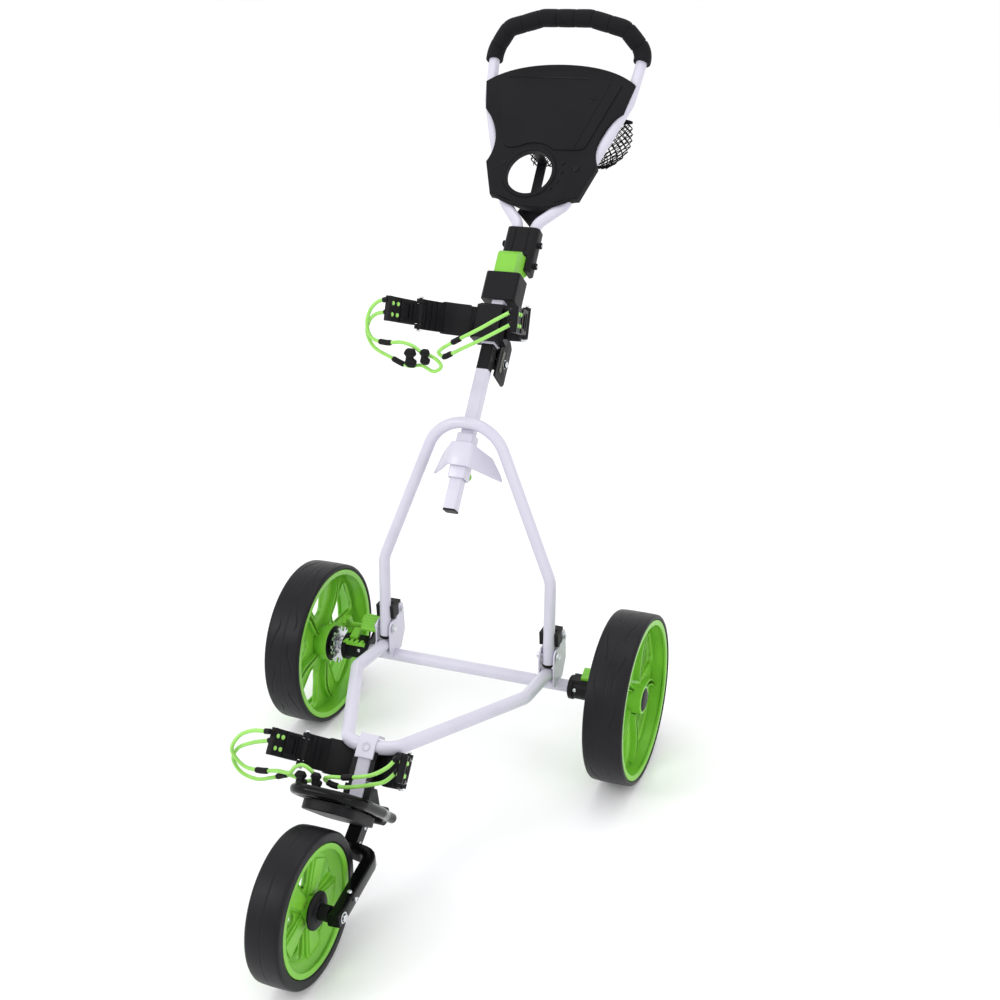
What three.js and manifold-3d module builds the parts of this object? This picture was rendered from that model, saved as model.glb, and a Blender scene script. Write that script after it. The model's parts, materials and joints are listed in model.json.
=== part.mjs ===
// Golf push trolley: three wheels, folding frame, two bag cradles and a handle with a console.
// Millimetres, +Z up, +Y towards the person who pushes, X across. The origin lies on the ground,
// under the middle of the trolley's length.
import * as THREE from 'three';
import { mergeVertices } from 'three/addons/utils/BufferGeometryUtils.js';
import Module from 'manifold-3d';

const wasm = await Module();
wasm.setup();

// ---------------------------------------------------------------- driving dimensions
const GAP = 0.3; // clearance between touching pieces
const REAR_WHEEL = { radius: 147, width: 68, centreX: 294.5, seat: 137, hubRadius: 24, bore: 8 };
const FRONT_WHEEL = { radius: 113, width: 54, centreX: 0, seat: 95, hubRadius: 19, bore: 6 };
const WHEELBASE = 614;
const MIDDLE_Y = -63.3; // from the rear axle to the middle of the trolley's length

const LEG_X = 155; // half the distance between the upright's feet
const LEG_RADIUS = 10;
const LOWER_TUBE_RADIUS = 11;
const TUBE_WALL = 1.8;
const LOOP_RISE = THREE.MathUtils.degToRad(9);
const LOOP_START = new THREE.Vector3(0, -8, 172);
const LOOP_LENGTH = 374;
const UPRIGHT_LEAN = THREE.MathUtils.degToRad(7);
const UPRIGHT_PIVOT = new THREE.Vector3(0, -4, 203);
const UPRIGHT_HEIGHT = 407; // from the pivot to the middle of the tube at the top of the arch
const CLIP_PIVOT = new THREE.Vector3(0, 33, 224);

const MAST_LEAN = THREE.MathUtils.degToRad(41);
const MAST_FOOT = new THREE.Vector3(0, -38.7, 470.8);
const MAST_SIDE = 22;
const MAST_WALL = 1.6;
const LOWER_MAST_LENGTH = 251;
const MAST_HINGE = { y: 44, z: 282 }; // in the mast's own frame
const UPPER_MAST_START = 299;
const COLLAR = { bottom: 377, top: 428, halfWidth: 31, front: -17, back: 27 };
const HANDLE_PIVOT = { y: 41, z: 467 };
const HANDLE_PLANE_Y = 52;

const STUB_CENTRE = new THREE.Vector3(0, -389.7, 213.8);
const FORK_PIVOT = new THREE.Vector3(0, -412, 132);
const FORK_ARM_X = 57;
const CORD_RADIUS = 2.5;
const CORD_STEPS = 20;

// ---------------------------------------------------------------- materials
function finish(color, roughness, metalness) {
  return () => new THREE.MeshStandardMaterial({ color, roughness, metalness });
}
const whitePaint = finish(0xeeeef4, 0.35, 0.1);
const blackPlastic = finish(0x151517, 0.55, 0);
const blackGloss = finish(0x0c0c0e, 0.2, 0);
const greenPlastic = finish(0x63b32e, 0.4, 0);
const greenCord = finish(0x86d653, 0.6, 0);
const tyreFoam = finish(0x1b1b1d, 0.7, 0);
const gripFoam = finish(0x202022, 0.9, 0);
const steel = finish(0xb9bcc0, 0.3, 0.9);
const meshFabric = finish(0x1a1a1c, 0.9, 0);

// ---------------------------------------------------------------- solids
function toSolid(geometry) {
  const bare = geometry.index ? geometry.toNonIndexed() : geometry.clone();
  bare.deleteAttribute('normal');
  bare.deleteAttribute('uv');
  const merged = mergeVertices(bare, 1e-4);
  const vertProperties = new Float32Array(merged.attributes.position.array);
  const triVerts = new Uint32Array(merged.index.array);
  return new wasm.Manifold(new wasm.Mesh({ numProp: 3, vertProperties, triVerts }));
}

function toGeometry(solid) {
  const mesh = solid.getMesh();
  const geometry = new THREE.BufferGeometry();
  geometry.setAttribute('position', new THREE.BufferAttribute(new Float32Array(mesh.vertProperties), 3));
  geometry.setIndex(new THREE.BufferAttribute(new Uint32Array(mesh.triVerts), 1));
  geometry.computeVertexNormals();
  return geometry;
}

function join(...geometries) {
  return toGeometry(geometries.map(toSolid).reduce((whole, next) => whole.add(next)));
}

function cut(geometry, ...tools) {
  return toGeometry(tools.map(toSolid).reduce((whole, tool) => whole.subtract(tool), toSolid(geometry)));
}

function moved(geometry, x, y, z) {
  return geometry.clone().translate(x, y, z);
}

function box(x0, x1, y0, y1, z0, z1) {
  return new THREE.BoxGeometry(x1 - x0, y1 - y0, z1 - z0)
    .translate((x0 + x1) / 2, (y0 + y1) / 2, (z0 + z1) / 2);
}

// A round bar along X, from x0 to x1, centred at (y, z).
function barX(radius, x0, x1, y = 0, z = 0, sides = 16) {
  return new THREE.CylinderGeometry(radius, radius, x1 - x0, sides)
    .rotateZ(Math.PI / 2)
    .translate((x0 + x1) / 2, y, z);
}

function barY(radius, y0, y1, x = 0, z = 0, sides = 14) {
  return new THREE.CylinderGeometry(radius, radius, y1 - y0, sides).translate(x, (y0 + y1) / 2, z);
}

function barZ(radius, z0, z1, x = 0, y = 0, sides = 14) {
  return new THREE.CylinderGeometry(radius, radius, z1 - z0, sides)
    .rotateX(Math.PI / 2)
    .translate(x, y, (z0 + z1) / 2);
}

// A profile of [radius, x] points, turned round the X axis.
function turnedX(profile, segments = 36) {
  const points = profile.map(([radius, x]) => new THREE.Vector2(radius, x));
  return new THREE.LatheGeometry(points, segments).rotateZ(-Math.PI / 2);
}

function polygon(points) {
  return new THREE.Shape(points.map(([x, y]) => new THREE.Vector2(x, y)));
}

// A flat outline given as [y, z] points, as a plate from x0 to x1.
function plateX(points, x0, x1) {
  const flat = new THREE.ExtrudeGeometry(polygon(points), { depth: x1 - x0, bevelEnabled: false });
  const turn = new THREE.Matrix4().makeBasis(
    new THREE.Vector3(0, 1, 0), new THREE.Vector3(0, 0, 1), new THREE.Vector3(1, 0, 0));
  return flat.applyMatrix4(turn).translate(x0, 0, 0);
}

// A flat outline given as [x, y] points, or a Shape, raised from z0 to z1.
function plateZ(outline, z0, z1) {
  const shape = outline instanceof THREE.Shape ? outline : polygon(outline);
  return new THREE.ExtrudeGeometry(shape, { depth: z1 - z0, bevelEnabled: false, curveSegments: 3 })
    .translate(0, 0, z0);
}

// A flat outline in X and Z, from y0 to y1.
function plateY(shape, y0, y1, curveSegments = 4) {
  return new THREE.ExtrudeGeometry(shape, { depth: y1 - y0, bevelEnabled: false, curveSegments })
    .rotateX(Math.PI / 2)
    .translate(0, y1, 0);
}

function roundedRectangle(width, height, corner) {
  const x = width / 2;
  const y = height / 2;
  const shape = new THREE.Shape();
  shape.moveTo(-x + corner, -y);
  shape.lineTo(x - corner, -y);
  shape.absarc(x - corner, -y + corner, corner, -Math.PI / 2, 0);
  shape.lineTo(x, y - corner);
  shape.absarc(x - corner, y - corner, corner, 0, Math.PI / 2);
  shape.lineTo(-x + corner, y);
  shape.absarc(-x + corner, y - corner, corner, Math.PI / 2, Math.PI);
  shape.lineTo(-x, -y + corner);
  shape.absarc(-x + corner, -y + corner, corner, Math.PI, Math.PI * 1.5);
  return shape;
}

// A rounded square tube along Z, from z0 to z1.
function squareTube(side, wall, z0, z1) {
  const section = roundedRectangle(side, side, 3);
  section.holes.push(roundedRectangle(side - 2 * wall, side - 2 * wall, 1.4));
  return new THREE.ExtrudeGeometry(section, { depth: z1 - z0, bevelEnabled: false, curveSegments: 2 })
    .translate(0, 0, z0);
}

const BEND_STEP = THREE.MathUtils.degToRad(22);

// A path of straight runs with round bends. It has points only at the ends and round the bends.
class BentPath extends THREE.Curve {
  constructor(corners, bendRadius) {
    super();
    const points = corners.map((corner) => new THREE.Vector3(...corner));
    this.knots = [points[0]];
    for (let i = 1; i < points.length - 1; i += 1) {
      this.addBend(points[i - 1], points[i], points[i + 1], bendRadius);
    }
    this.knots.push(points.at(-1));
  }

  addBend(before, corner, after, bendRadius) {
    const back = before.clone().sub(corner).normalize();
    const ahead = after.clone().sub(corner).normalize();
    const half = back.angleTo(ahead) / 2;
    const centre = back.clone().add(ahead).normalize()
      .multiplyScalar(bendRadius / Math.sin(half)).add(corner);
    const start = back.multiplyScalar(bendRadius / Math.tan(half)).add(corner).sub(centre);
    const axis = new THREE.Vector3().crossVectors(start, corner.clone().sub(centre)).normalize();
    const fullTurn = Math.PI - 2 * half;
    const steps = Math.ceil(fullTurn / BEND_STEP);
    for (let step = 0; step <= steps; step += 1) {
      this.knots.push(start.clone().applyAxisAngle(axis, fullTurn * step / steps).add(centre));
    }
  }

  getPoint(t, target = new THREE.Vector3()) {
    const place = Math.min(Math.max(t, 0), 1) * (this.knots.length - 1);
    const index = Math.min(Math.floor(place), this.knots.length - 2);
    return target.lerpVectors(this.knots[index], this.knots[index + 1], place - index);
  }

  getUtoTmapping(u) {
    return u;
  }
}

function circle(radius, sides, x = 0, y = 0) {
  const points = [];
  for (let i = 0; i < sides; i += 1) {
    const angle = 2 * Math.PI * i / sides;
    points.push([x + radius * Math.cos(angle), y + radius * Math.sin(angle)]);
  }
  return polygon(points);
}

function sweep(section, path, steps = path.knots.length - 1) {
  return new THREE.ExtrudeGeometry(section, { extrudePath: path, steps, curveSegments: 2 });
}

function roundTube(path, radius, wall = TUBE_WALL) {
  const section = circle(radius, 12);
  section.holes.push(circle(radius - wall, 8));
  return sweep(section, path);
}

// ---------------------------------------------------------------- scene graph
const trolley = new THREE.Group();
trolley.position.y = -MIDDLE_Y;

function frameAt(parent, origin, lean) {
  const group = new THREE.Group();
  group.position.copy(origin);
  group.rotation.x = -lean;
  parent.add(group);
  return group;
}

const loopFrame = frameAt(trolley, LOOP_START, LOOP_RISE);
const uprightFrame = frameAt(trolley, UPRIGHT_PIVOT, UPRIGHT_LEAN);
const mastFrame = frameAt(trolley, MAST_FOOT, MAST_LEAN);
const stubFrame = frameAt(trolley, STUB_CENTRE, MAST_LEAN);

// The matrix that takes coordinates in one frame to another frame's.
function between(from, to) {
  from.updateWorldMatrix(true, false);
  to.updateWorldMatrix(true, false);
  return to.matrixWorld.clone().invert().multiply(from.matrixWorld);
}

function addPiece(parent, name, geometry, material) {
  const mesh = new THREE.Mesh(geometry, material());
  mesh.name = name;
  parent.add(mesh);
}

// ---------------------------------------------------------------- lower frame
const LOOP_NOSE_HALF = 38;
const LOOP_ELBOW = 112;
const LOOP_PATH = new BentPath([
  [LEG_X, 0, 0], [LEG_X, -LOOP_ELBOW, 0], [LOOP_NOSE_HALF, -LOOP_LENGTH, 0],
  [-LOOP_NOSE_HALF, -LOOP_LENGTH, 0], [-LEG_X, -LOOP_ELBOW, 0], [-LEG_X, 0, 0],
], 36);

function lowerLoop() {
  addPiece(loopFrame, 'lower_loop_tube', roundTube(LOOP_PATH, LOWER_TUBE_RADIUS), whitePaint);
}

const AXLE_Z = REAR_WHEEL.radius;
const CROSS_TUBE_END = 192;
const PLATE = 2.5;
const BRACKET_HALF = 12; // half the room between a bracket's two side plates

function crossTube() {
  const path = new BentPath([[-CROSS_TUBE_END, 0, AXLE_Z], [CROSS_TUBE_END, 0, AXLE_Z]], 1);
  addPiece(trolley, 'cross_tube', roundTube(path, LOWER_TUBE_RADIUS), whitePaint);
}

// Two side plates joined by a back web, welded over the cross tube round one leg's foot.
function hingeBracket(side, name) {
  const sidePlate = [
    [-20, 150], [-19, 172], [-17, 196], [-14, 210], [-7, 217], [4, 217], [12, 214],
    [20, 222], [23, 232], [31, 237], [40, 234], [44, 226], [44, 178], [24, 150],
  ];
  const inner = LEG_X - BRACKET_HALF - PLATE;
  const outer = LEG_X + BRACKET_HALF;
  const web = box(inner, outer + PLATE, 41.5, 44, 178, 205);
  const bracket = join(
    plateX(sidePlate, inner, inner + PLATE),
    plateX(sidePlate, outer, outer + PLATE),
    web,
  );
  const tubeRoom = barX(LOWER_TUBE_RADIUS + GAP, inner - 5, outer + 5, 0, AXLE_Z, 28);
  const boltRoom = barX(4 + GAP, inner - 5, outer + 5, UPRIGHT_PIVOT.y, UPRIGHT_PIVOT.z);
  const clipBoltRoom = barX(3 + GAP, inner - 5, outer + 5, CLIP_PIVOT.y, CLIP_PIVOT.z);
  const geometry = cut(bracket, tubeRoom, boltRoom, clipBoltRoom);
  addPiece(trolley, name, side > 0 ? geometry : mirrored(geometry), whitePaint);
}

function mirrored(geometry) {
  const flipped = geometry.clone().scale(-1, 1, 1);
  const index = flipped.index.array;
  for (let i = 0; i < index.length; i += 3) {
    [index[i], index[i + 1]] = [index[i + 1], index[i]];
  }
  return flipped;
}

// The bolt that a leg turns on, with a head at each end.
function pivotBolt(side, name) {
  const reach = BRACKET_HALF + PLATE + GAP;
  const bolt = join(
    barX(4, -reach - 3, reach + 3),
    barX(7, -reach - 4, -reach, 0, 0, 6),
    barX(7, reach, reach + 4, 0, 0, 6),
  );
  addPiece(trolley, name, moved(bolt, side * LEG_X, UPRIGHT_PIVOT.y, UPRIGHT_PIVOT.z), steel);
}

// A snap clip behind each leg: it turns on a pin across the bracket's two upper ears.
function legClip(side, name) {
  const webRadius = 24;
  const bottom = 222.5;
  const top = 246;
  const armInside = LEG_RADIUS + GAP + 0.2;
  const armOutside = 17;
  const legFace = 17;
  const body = box(-armOutside, armOutside, -2, legFace + 2, bottom, top);
  const tongue = box(-BRACKET_HALF + GAP, BRACKET_HALF - GAP, legFace, CLIP_PIVOT.y + 6, 223, 240);
  const pin = barX(3, -BRACKET_HALF - PLATE - 3, BRACKET_HALF + PLATE + 3, CLIP_PIVOT.y, CLIP_PIVOT.z);
  const legRoom = box(-armInside, armInside, -10, CLIP_PIVOT.y - webRadius + 5, bottom - 5, top + 5);
  const backRoom = barX(webRadius, -armInside, armInside, CLIP_PIVOT.y, CLIP_PIVOT.z, 48);
  const slot = cut(legRoom, backRoom);
  const clip = join(cut(body, slot), tongue, pin);
  addPiece(trolley, name, moved(clip, side * LEG_X, 0, 0), blackPlastic);
}

// The folded plate over the loop's nose, and the square stub that it holds.
function noseAndStub() {
  const outline = [
    [-14, 0], [-14, 24], [-8, 38], [14, 38], [17, 34.5], [-5.5, 34.5], [-10.5, 23], [-10.5, 0],
  ];
  const noseRoom = barX(LOWER_TUBE_RADIUS + GAP, -30, 30, 0, 0, 32);
  const noseInStub = new THREE.Vector3(0, -LOOP_LENGTH, 0)
    .applyEuler(loopFrame.rotation).add(LOOP_START).sub(STUB_CENTRE)
    .applyEuler(new THREE.Euler(MAST_LEAN, 0, 0));
  const room = moved(noseRoom, 0, noseInStub.y, noseInStub.z);
  const tube = squareTube(MAST_SIDE, MAST_WALL, -68, 26);
  addPiece(stubFrame, 'front_stub', cut(join(tube, plateX(outline, -15, 15)), room), whitePaint);
}

// ---------------------------------------------------------------- bag cradles
const LOWER_ARM = [[13.5, 15], [34, 12], [58, -4], [78, -32], [94, -72], [106, -114]];
const UPPER_ARM = [[14, 2], [44, -6], [68, -26], [88, -68], [101, -124], [109, -182]];

// A curved strip of even thickness between two places along an arm's centre line.
function armStrip(armPoints, from, to, thickness, steps) {
  const curve = new THREE.SplineCurve(armPoints.map(([x, y]) => new THREE.Vector2(x, y)));
  const near = [];
  const far = [];
  for (let i = 0; i <= steps; i += 1) {
    const place = from + (to - from) * i / steps;
    const point = curve.getPointAt(place);
    const tangent = curve.getTangentAt(place);
    const offset = new THREE.Vector2(-tangent.y, tangent.x).multiplyScalar(thickness / 2);
    near.push(point.clone().add(offset));
    far.push(point.clone().sub(offset));
  }
  return new THREE.Shape([...near, ...far.reverse()]);
}

function armPlace(armPoints, place) {
  return new THREE.SplineCurve(armPoints.map(([x, y]) => new THREE.Vector2(x, y))).getPointAt(place);
}

const ARM_HINGE = 0.58; // where along its arm each tip is hinged
const ARM_HALF_HEIGHT = 25;
const TIP_HALF_HEIGHT = 20;

function fixedArm(armPoints, height) {
  const hinge = armPlace(armPoints, ARM_HINGE);
  const strip = plateZ(armStrip(armPoints, 0, ARM_HINGE, 8, 8), -height, height);
  const tipRoom = barZ(10, -height + 8, height - 8, hinge.x, hinge.y, 16);
  const pinRoom = barZ(2.5 + GAP, -height - 2, height + 2, hinge.x, hinge.y, 10);
  const knuckle = barZ(7, -height, height, hinge.x, hinge.y);
  return cut(join(strip, knuckle), tipRoom, pinRoom);
}

// The tip swings on a pin in the arm's end; it has a window and four cord holes.
function armTip(armPoints, height, tipHeight) {
  const hinge = armPlace(armPoints, ARM_HINGE);
  const barrelHalf = height - 9;
  const strip = plateZ(armStrip(armPoints, ARM_HINGE + 0.075, 1, 7, 5), -tipHeight, tipHeight);
  const neck = plateZ(armStrip(armPoints, ARM_HINGE, ARM_HINGE + 0.1, 7, 2), -barrelHalf, barrelHalf);
  const barrel = barZ(7, -barrelHalf, barrelHalf, hinge.x, hinge.y);
  const pin = barZ(2.5, -height - 2, height + 2, hinge.x, hinge.y, 8);
  const across = (geometry, place) => {
    const spot = armPlace(armPoints, place);
    const next = armPlace(armPoints, place + 0.03).sub(spot);
    return geometry.rotateZ(Math.atan2(next.y, next.x)).translate(spot.x, spot.y, 0);
  };
  const holes = [0.89, 0.96].flatMap(
    (place) => [-9, 9].map((z) => across(barY(CORD_RADIUS + 0.8, -8, 8, 0, z, 8), place)));
  const window = across(box(-8, 8, -8, 8, -tipHeight + 9, tipHeight - 9), 0.76);
  return cut(join(strip, neck, barrel, pin), window, ...holes);
}

function bothSides(geometry) {
  return [geometry, mirrored(geometry)];
}

function lowerCradle() {
  const height = ARM_HALF_HEIGHT;
  const cradleFrame = frameAt(stubFrame, new THREE.Vector3(0, 0, -7), 0);
  const saddle = box(-19, 19, -9, 22, -height, height);
  const tubeRoom = box(-MAST_SIDE / 2 - GAP, MAST_SIDE / 2 + GAP, -20, MAST_SIDE / 2 + GAP, -60, 60);
  const whole = join(saddle, ...bothSides(fixedArm(LOWER_ARM, height)));
  const loopRoom = sweep(circle(LOWER_TUBE_RADIUS + GAP + 0.2, 12), LOOP_PATH)
    .applyMatrix4(between(loopFrame, cradleFrame));
  const cradle = cut(whole, tubeRoom, loopRoom);
  addPiece(cradleFrame, 'lower_bag_cradle', cradle, blackPlastic);
  const [rightTip, leftTip] = bothSides(armTip(LOWER_ARM, height, TIP_HALF_HEIGHT));
  addPiece(cradleFrame, 'lower_right_tip', rightTip, blackPlastic);
  addPiece(cradleFrame, 'lower_left_tip', leftTip, blackPlastic);
}

// The upper cradle's arms droop from the mast's square, so that they meet the bag's side.
const UPPER_CRADLE = new THREE.Vector3(0, -16, 332);
const ARM_DROOP = THREE.MathUtils.degToRad(19);

function upperCradle() {
  const height = ARM_HALF_HEIGHT;
  const cradleFrame = frameAt(mastFrame, UPPER_CRADLE, -ARM_DROOP);
  const toMast = between(cradleFrame, mastFrame);
  const arms = bothSides(fixedArm(UPPER_ARM, height)).map((arm) => arm.applyMatrix4(toMast));
  const bottom = UPPER_MAST_START + 2;
  const top = COLLAR.bottom - 14;
  const housing = plateZ([
    [-30, -21], [-20, -27], [20, -27], [30, -21], [26, 17], [-26, 17],
  ], bottom, top);
  const chin = plateX([[-27, bottom + 1], [-27, top], [-34, top - 6], [-34, bottom + 20]], -22, 22);
  const channelRoom = box(-40, 40, MAST_SIDE / 2 + 0.7, 40, bottom - 5, CHANNEL_TOP + GAP);
  const inside = MAST_SIDE / 2 + GAP;
  const tubeRoom = box(-inside, inside, -inside, inside, bottom - 5, top + 5);
  const cradle = cut(join(housing, chin, ...arms), channelRoom, tubeRoom);
  addPiece(mastFrame, 'upper_bag_cradle', cradle, blackPlastic);
  const [rightTip, leftTip] = bothSides(armTip(UPPER_ARM, height, TIP_HALF_HEIGHT));
  addPiece(cradleFrame, 'upper_right_tip', rightTip, blackPlastic);
  addPiece(cradleFrame, 'upper_left_tip', leftTip, blackPlastic);
}

// ---------------------------------------------------------------- bag rest and stub fitting
const PIVOT_IN_STUB = new THREE.Vector3().subVectors(FORK_PIVOT, STUB_CENTRE)
  .applyEuler(new THREE.Euler(MAST_LEAN, 0, 0));

// A black sleeve behind the stub that carries the fork's pivot between two ears.
function stubFitting() {
  const { y, z } = PIVOT_IN_STUB;
  const back = MAST_SIDE / 2 + 4;
  const cover = box(-17, 17, -8, back, -66, -34);
  const tubeRoom = box(-MAST_SIDE / 2 - GAP, MAST_SIDE / 2 + GAP, -30, MAST_SIDE / 2 + GAP, -68.3, -30);
  const ear = [[y - 13, z - 4], [y - 9, z - 11], [y + 4, z - 14], [y + 12, z - 8], [y + 14, z + 4],
    [back, -40], [-8, -40], [-8, z + 16]];
  const ears = [-22, 14.5].map((x) => plateX(ear, x, x + 7.5));
  const barrels = [-36, 14.5].map((x) => barX(14, x, x + 21.5, y, z, 24));
  const pin = barX(5, -20, 20, y, z);
  const fitting = join(cut(join(cover, ...ears), tubeRoom), ...barrels, pin);
  addPiece(stubFrame, 'stub_fitting', fitting, blackPlastic);
}

// The loop of bent tube that a bag's base stands in, and the pad inside it.
const REST_TILT = THREE.MathUtils.degToRad(45);

function bagRest() {
  const restFrame = frameAt(trolley, FORK_PIVOT, REST_TILT);
  const halfWidth = 54;
  const reach = 170;
  const rim = new BentPath([
    [44, 7, 0], [44, -20, 0], [halfWidth, -60, 0], [halfWidth, -reach, 0],
    [-halfWidth, -reach, 0], [-halfWidth, -60, 0], [-44, -20, 0], [-44, 7, 0],
  ], 38);
  addPiece(restFrame, 'bag_rest_rim', sweep(circle(7, 12), rim), blackGloss);
  const outline = roundedRectangle(84, 126, 30);
  const pad = moved(plateZ(outline, -24, -9), 0, -90, 0);
  addPiece(restFrame, 'bag_rest_base', pad, blackPlastic);
}

// ---------------------------------------------------------------- wheels
const RIM_WINDOWS = 5;
const WHEEL_SEGMENTS = 30;

function tyre(wheel) {
  const half = wheel.width / 2;
  const seat = wheel.seat + GAP;
  const { radius } = wheel;
  return turnedX([
    [seat, -half + 3], [seat + 3, -half], [radius - 5, -half + 0.5], [radius - 1, -half + 3],
    [radius, -half + 8], [radius, half - 8], [radius - 1, half - 3], [radius - 5, half - 0.5],
    [seat + 3, half], [seat, half - 3], [seat, -half + 3],
  ], WHEEL_SEGMENTS);
}

// A barrel, a thin web with windows, and a hub with a plain bore.
function rim(wheel, web, window) {
  const half = wheel.width / 2 - 2;
  const inside = wheel.seat - 5;
  const hubHalf = wheel.width / 2 - 6;
  const bore = wheel.bore + GAP;
  const hub = wheel.hubRadius;
  const body = turnedX([
    [bore, -hubHalf], [hub, -hubHalf], [hub, web.from], [inside, web.from], [inside, -half],
    [wheel.seat, -half], [wheel.seat, half], [inside, half], [inside, web.to], [hub, web.to],
    [hub, hubHalf], [bore, hubHalf], [bore, -hubHalf],
  ], WHEEL_SEGMENTS);
  const { inner, outer, spread } = window;
  const outline = [
    [-spread * 0.35, inner], [spread * 0.35, inner], [spread, outer - 8],
    [spread * 0.75, outer], [-spread * 0.75, outer], [-spread, outer - 8],
  ];
  const windows = [];
  for (let i = 0; i < RIM_WINDOWS; i += 1) {
    windows.push(plateX(outline, web.from - 2, web.to + 2).rotateX(2 * Math.PI * i / RIM_WINDOWS));
  }
  return cut(body, ...windows);
}

const AXLE_REACH = REAR_WHEEL.centreX + REAR_WHEEL.width / 2 - 7;

function rearWheel(side, label) {
  const rimPiece = rim(REAR_WHEEL, { from: 0, to: 7 }, { inner: 40, outer: 120, spread: 48 });
  const place = (geometry) => moved(
    side > 0 ? geometry : mirrored(geometry), side * REAR_WHEEL.centreX, 0, AXLE_Z);
  addPiece(trolley, `${label}_tyre`, place(toGeometry(toSolid(tyre(REAR_WHEEL)))), tyreFoam);
  addPiece(trolley, `${label}_rim`, place(rimPiece), greenPlastic);
}

function rearAxle() {
  addPiece(trolley, 'rear_axle', barX(REAR_WHEEL.bore, -AXLE_REACH, AXLE_REACH, 0, AXLE_Z), steel);
}

const STAR_X = -253;
const STAR_LOBES = 8;

const NOTCH_ANGLE = THREE.MathUtils.degToRad(32.5); // from straight up, towards the back
const NOTCH_BOTTOM = 25;

// The notched disc on the left wheel that the brake's tooth drops into.
function brakeStar() {
  const disc = barX(34, STAR_X - 1.5, STAR_X + 1.5, 0, 0, 32);
  const wheelFace = -REAR_WHEEL.centreX + REAR_WHEEL.width / 2 - 6 + GAP;
  const carrier = barX(22, wheelFace, STAR_X + 1, 0, 0, 24);
  const bore = barX(REAR_WHEEL.bore + GAP, STAR_X - 30, STAR_X + 20);
  const notches = [];
  for (let i = 0; i < STAR_LOBES; i += 1) {
    const turn = 2 * Math.PI * i / STAR_LOBES - NOTCH_ANGLE;
    notches.push(box(STAR_X - 4, STAR_X + 4, -4.5, 4.5, NOTCH_BOTTOM, 40).rotateX(turn));
  }
  const star = cut(join(disc, carrier), bore, ...notches);
  addPiece(trolley, 'brake_star', moved(star, 0, 0, AXLE_Z), steel);
}

// ---------------------------------------------------------------- front fork
const FRONT_HUB = new THREE.Vector3(0, -WHEELBASE, FRONT_WHEEL.radius).sub(FORK_PIVOT);
const HUB_FACE = FRONT_WHEEL.width / 2 - 6;
const FLANGE_END = HUB_FACE + 11;

function frontWheel(forkFrame) {
  const place = (geometry) => moved(geometry, 0, FRONT_HUB.y, FRONT_HUB.z);
  const rimPiece = rim(FRONT_WHEEL, { from: 2, to: 8 }, { inner: 32, outer: 82, spread: 30 });
  addPiece(forkFrame, 'front_tyre', place(toGeometry(toSolid(tyre(FRONT_WHEEL)))), tyreFoam);
  addPiece(forkFrame, 'front_rim', place(rimPiece), greenPlastic);
  const flange = cut(
    join(barX(28, HUB_FACE + 3, HUB_FACE + 7, 0, 0, 28), barX(15, HUB_FACE + GAP, FLANGE_END, 0, 0, 24)),
    barX(FRONT_WHEEL.bore + GAP, 0, 60));
  addPiece(forkFrame, 'front_hub_flange', place(flange), blackPlastic);
}

function fork() {
  const forkFrame = frameAt(trolley, FORK_PIVOT, 0);
  const foot = new THREE.Vector2(-46, -28);
  const along = foot.clone().normalize();
  const across = new THREE.Vector2(-along.y, along.x).multiplyScalar(10.5);
  const tip = foot.clone().addScaledVector(along, 8);
  const shank = [
    [across.x, across.y], [tip.x + across.x, tip.y + across.y],
    [tip.x - across.x, tip.y - across.y], [-across.x, -across.y],
  ];
  const eye = barX(13, -11, 11, 0, 0, 24);
  const bore = barX(5 + GAP, -20, 20);
  const armSide = 20;
  const arm = new BentPath([
    [-10.5, -52, -30], [42, -62, -29], [FORK_ARM_X, -190, -20.5],
    [FORK_ARM_X, FRONT_HUB.y - 12, FRONT_HUB.z],
  ], 22);
  const armBar = sweep(roundedRectangle(armSide, armSide, 3), arm);
  const roomPath = new BentPath([[-40, -46.3, -31], [42, -62, -29], [FORK_ARM_X, -190, -20.5]], 22);
  const armRoom = sweep(roundedRectangle(armSide + 2 * GAP, armSide + 2 * GAP, 3), roomPath);
  const axleRoom = barX(FRONT_WHEEL.bore + GAP, 0, 90, FRONT_HUB.y, FRONT_HUB.z);
  addPiece(forkFrame, 'fork_post', cut(join(plateX(shank, -11, 11), eye), bore, armRoom), blackGloss);
  addPiece(forkFrame, 'fork_arm', cut(armBar, axleRoom), blackGloss);
  const axle = join(
    barX(FRONT_WHEEL.bore, -HUB_FACE - 3, FORK_ARM_X + 13),
    barX(12, FLANGE_END + GAP, FORK_ARM_X - armSide / 2 - 1, 0, 0, 20),
  );
  addPiece(forkFrame, 'front_axle', moved(axle, 0, FRONT_HUB.y, FRONT_HUB.z), blackPlastic);
  frontWheel(forkFrame);
}

// ---------------------------------------------------------------- axle housings, levers and brake
const HOUSING = { from: CROSS_TUBE_END + GAP, to: 240 };
const LEVER = { from: 213.5, to: 229 };
const BRAKE_PIVOT = new THREE.Vector3(-225, 36, AXLE_Z + 23);
const BRAKE_TRAVEL = THREE.MathUtils.degToRad(22);
const BRAKE_PIN = 3;

function axleHousing(side, name) {
  const { from, to } = HOUSING;
  const body = join(
    barX(19, from, to, 0, 0, 24),
    box(from + 6, to - 4, -12, 12, 0, 21),
    barX(24, to - 8, to, 0, 0, 24),
  );
  const bore = barX(REAR_WHEEL.bore + GAP, from - 5, to + 5);
  const leverSlot = box(LEVER.from - GAP, LEVER.to + GAP, -7, 7, 15, 30);
  const plain = cut(body, bore, leverSlot);
  const housing = side > 0 ? plain : mirrored(join(plain, ...brakeMount()));
  addPiece(trolley, name, moved(housing, 0, 0, AXLE_Z), blackPlastic);
}

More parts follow.
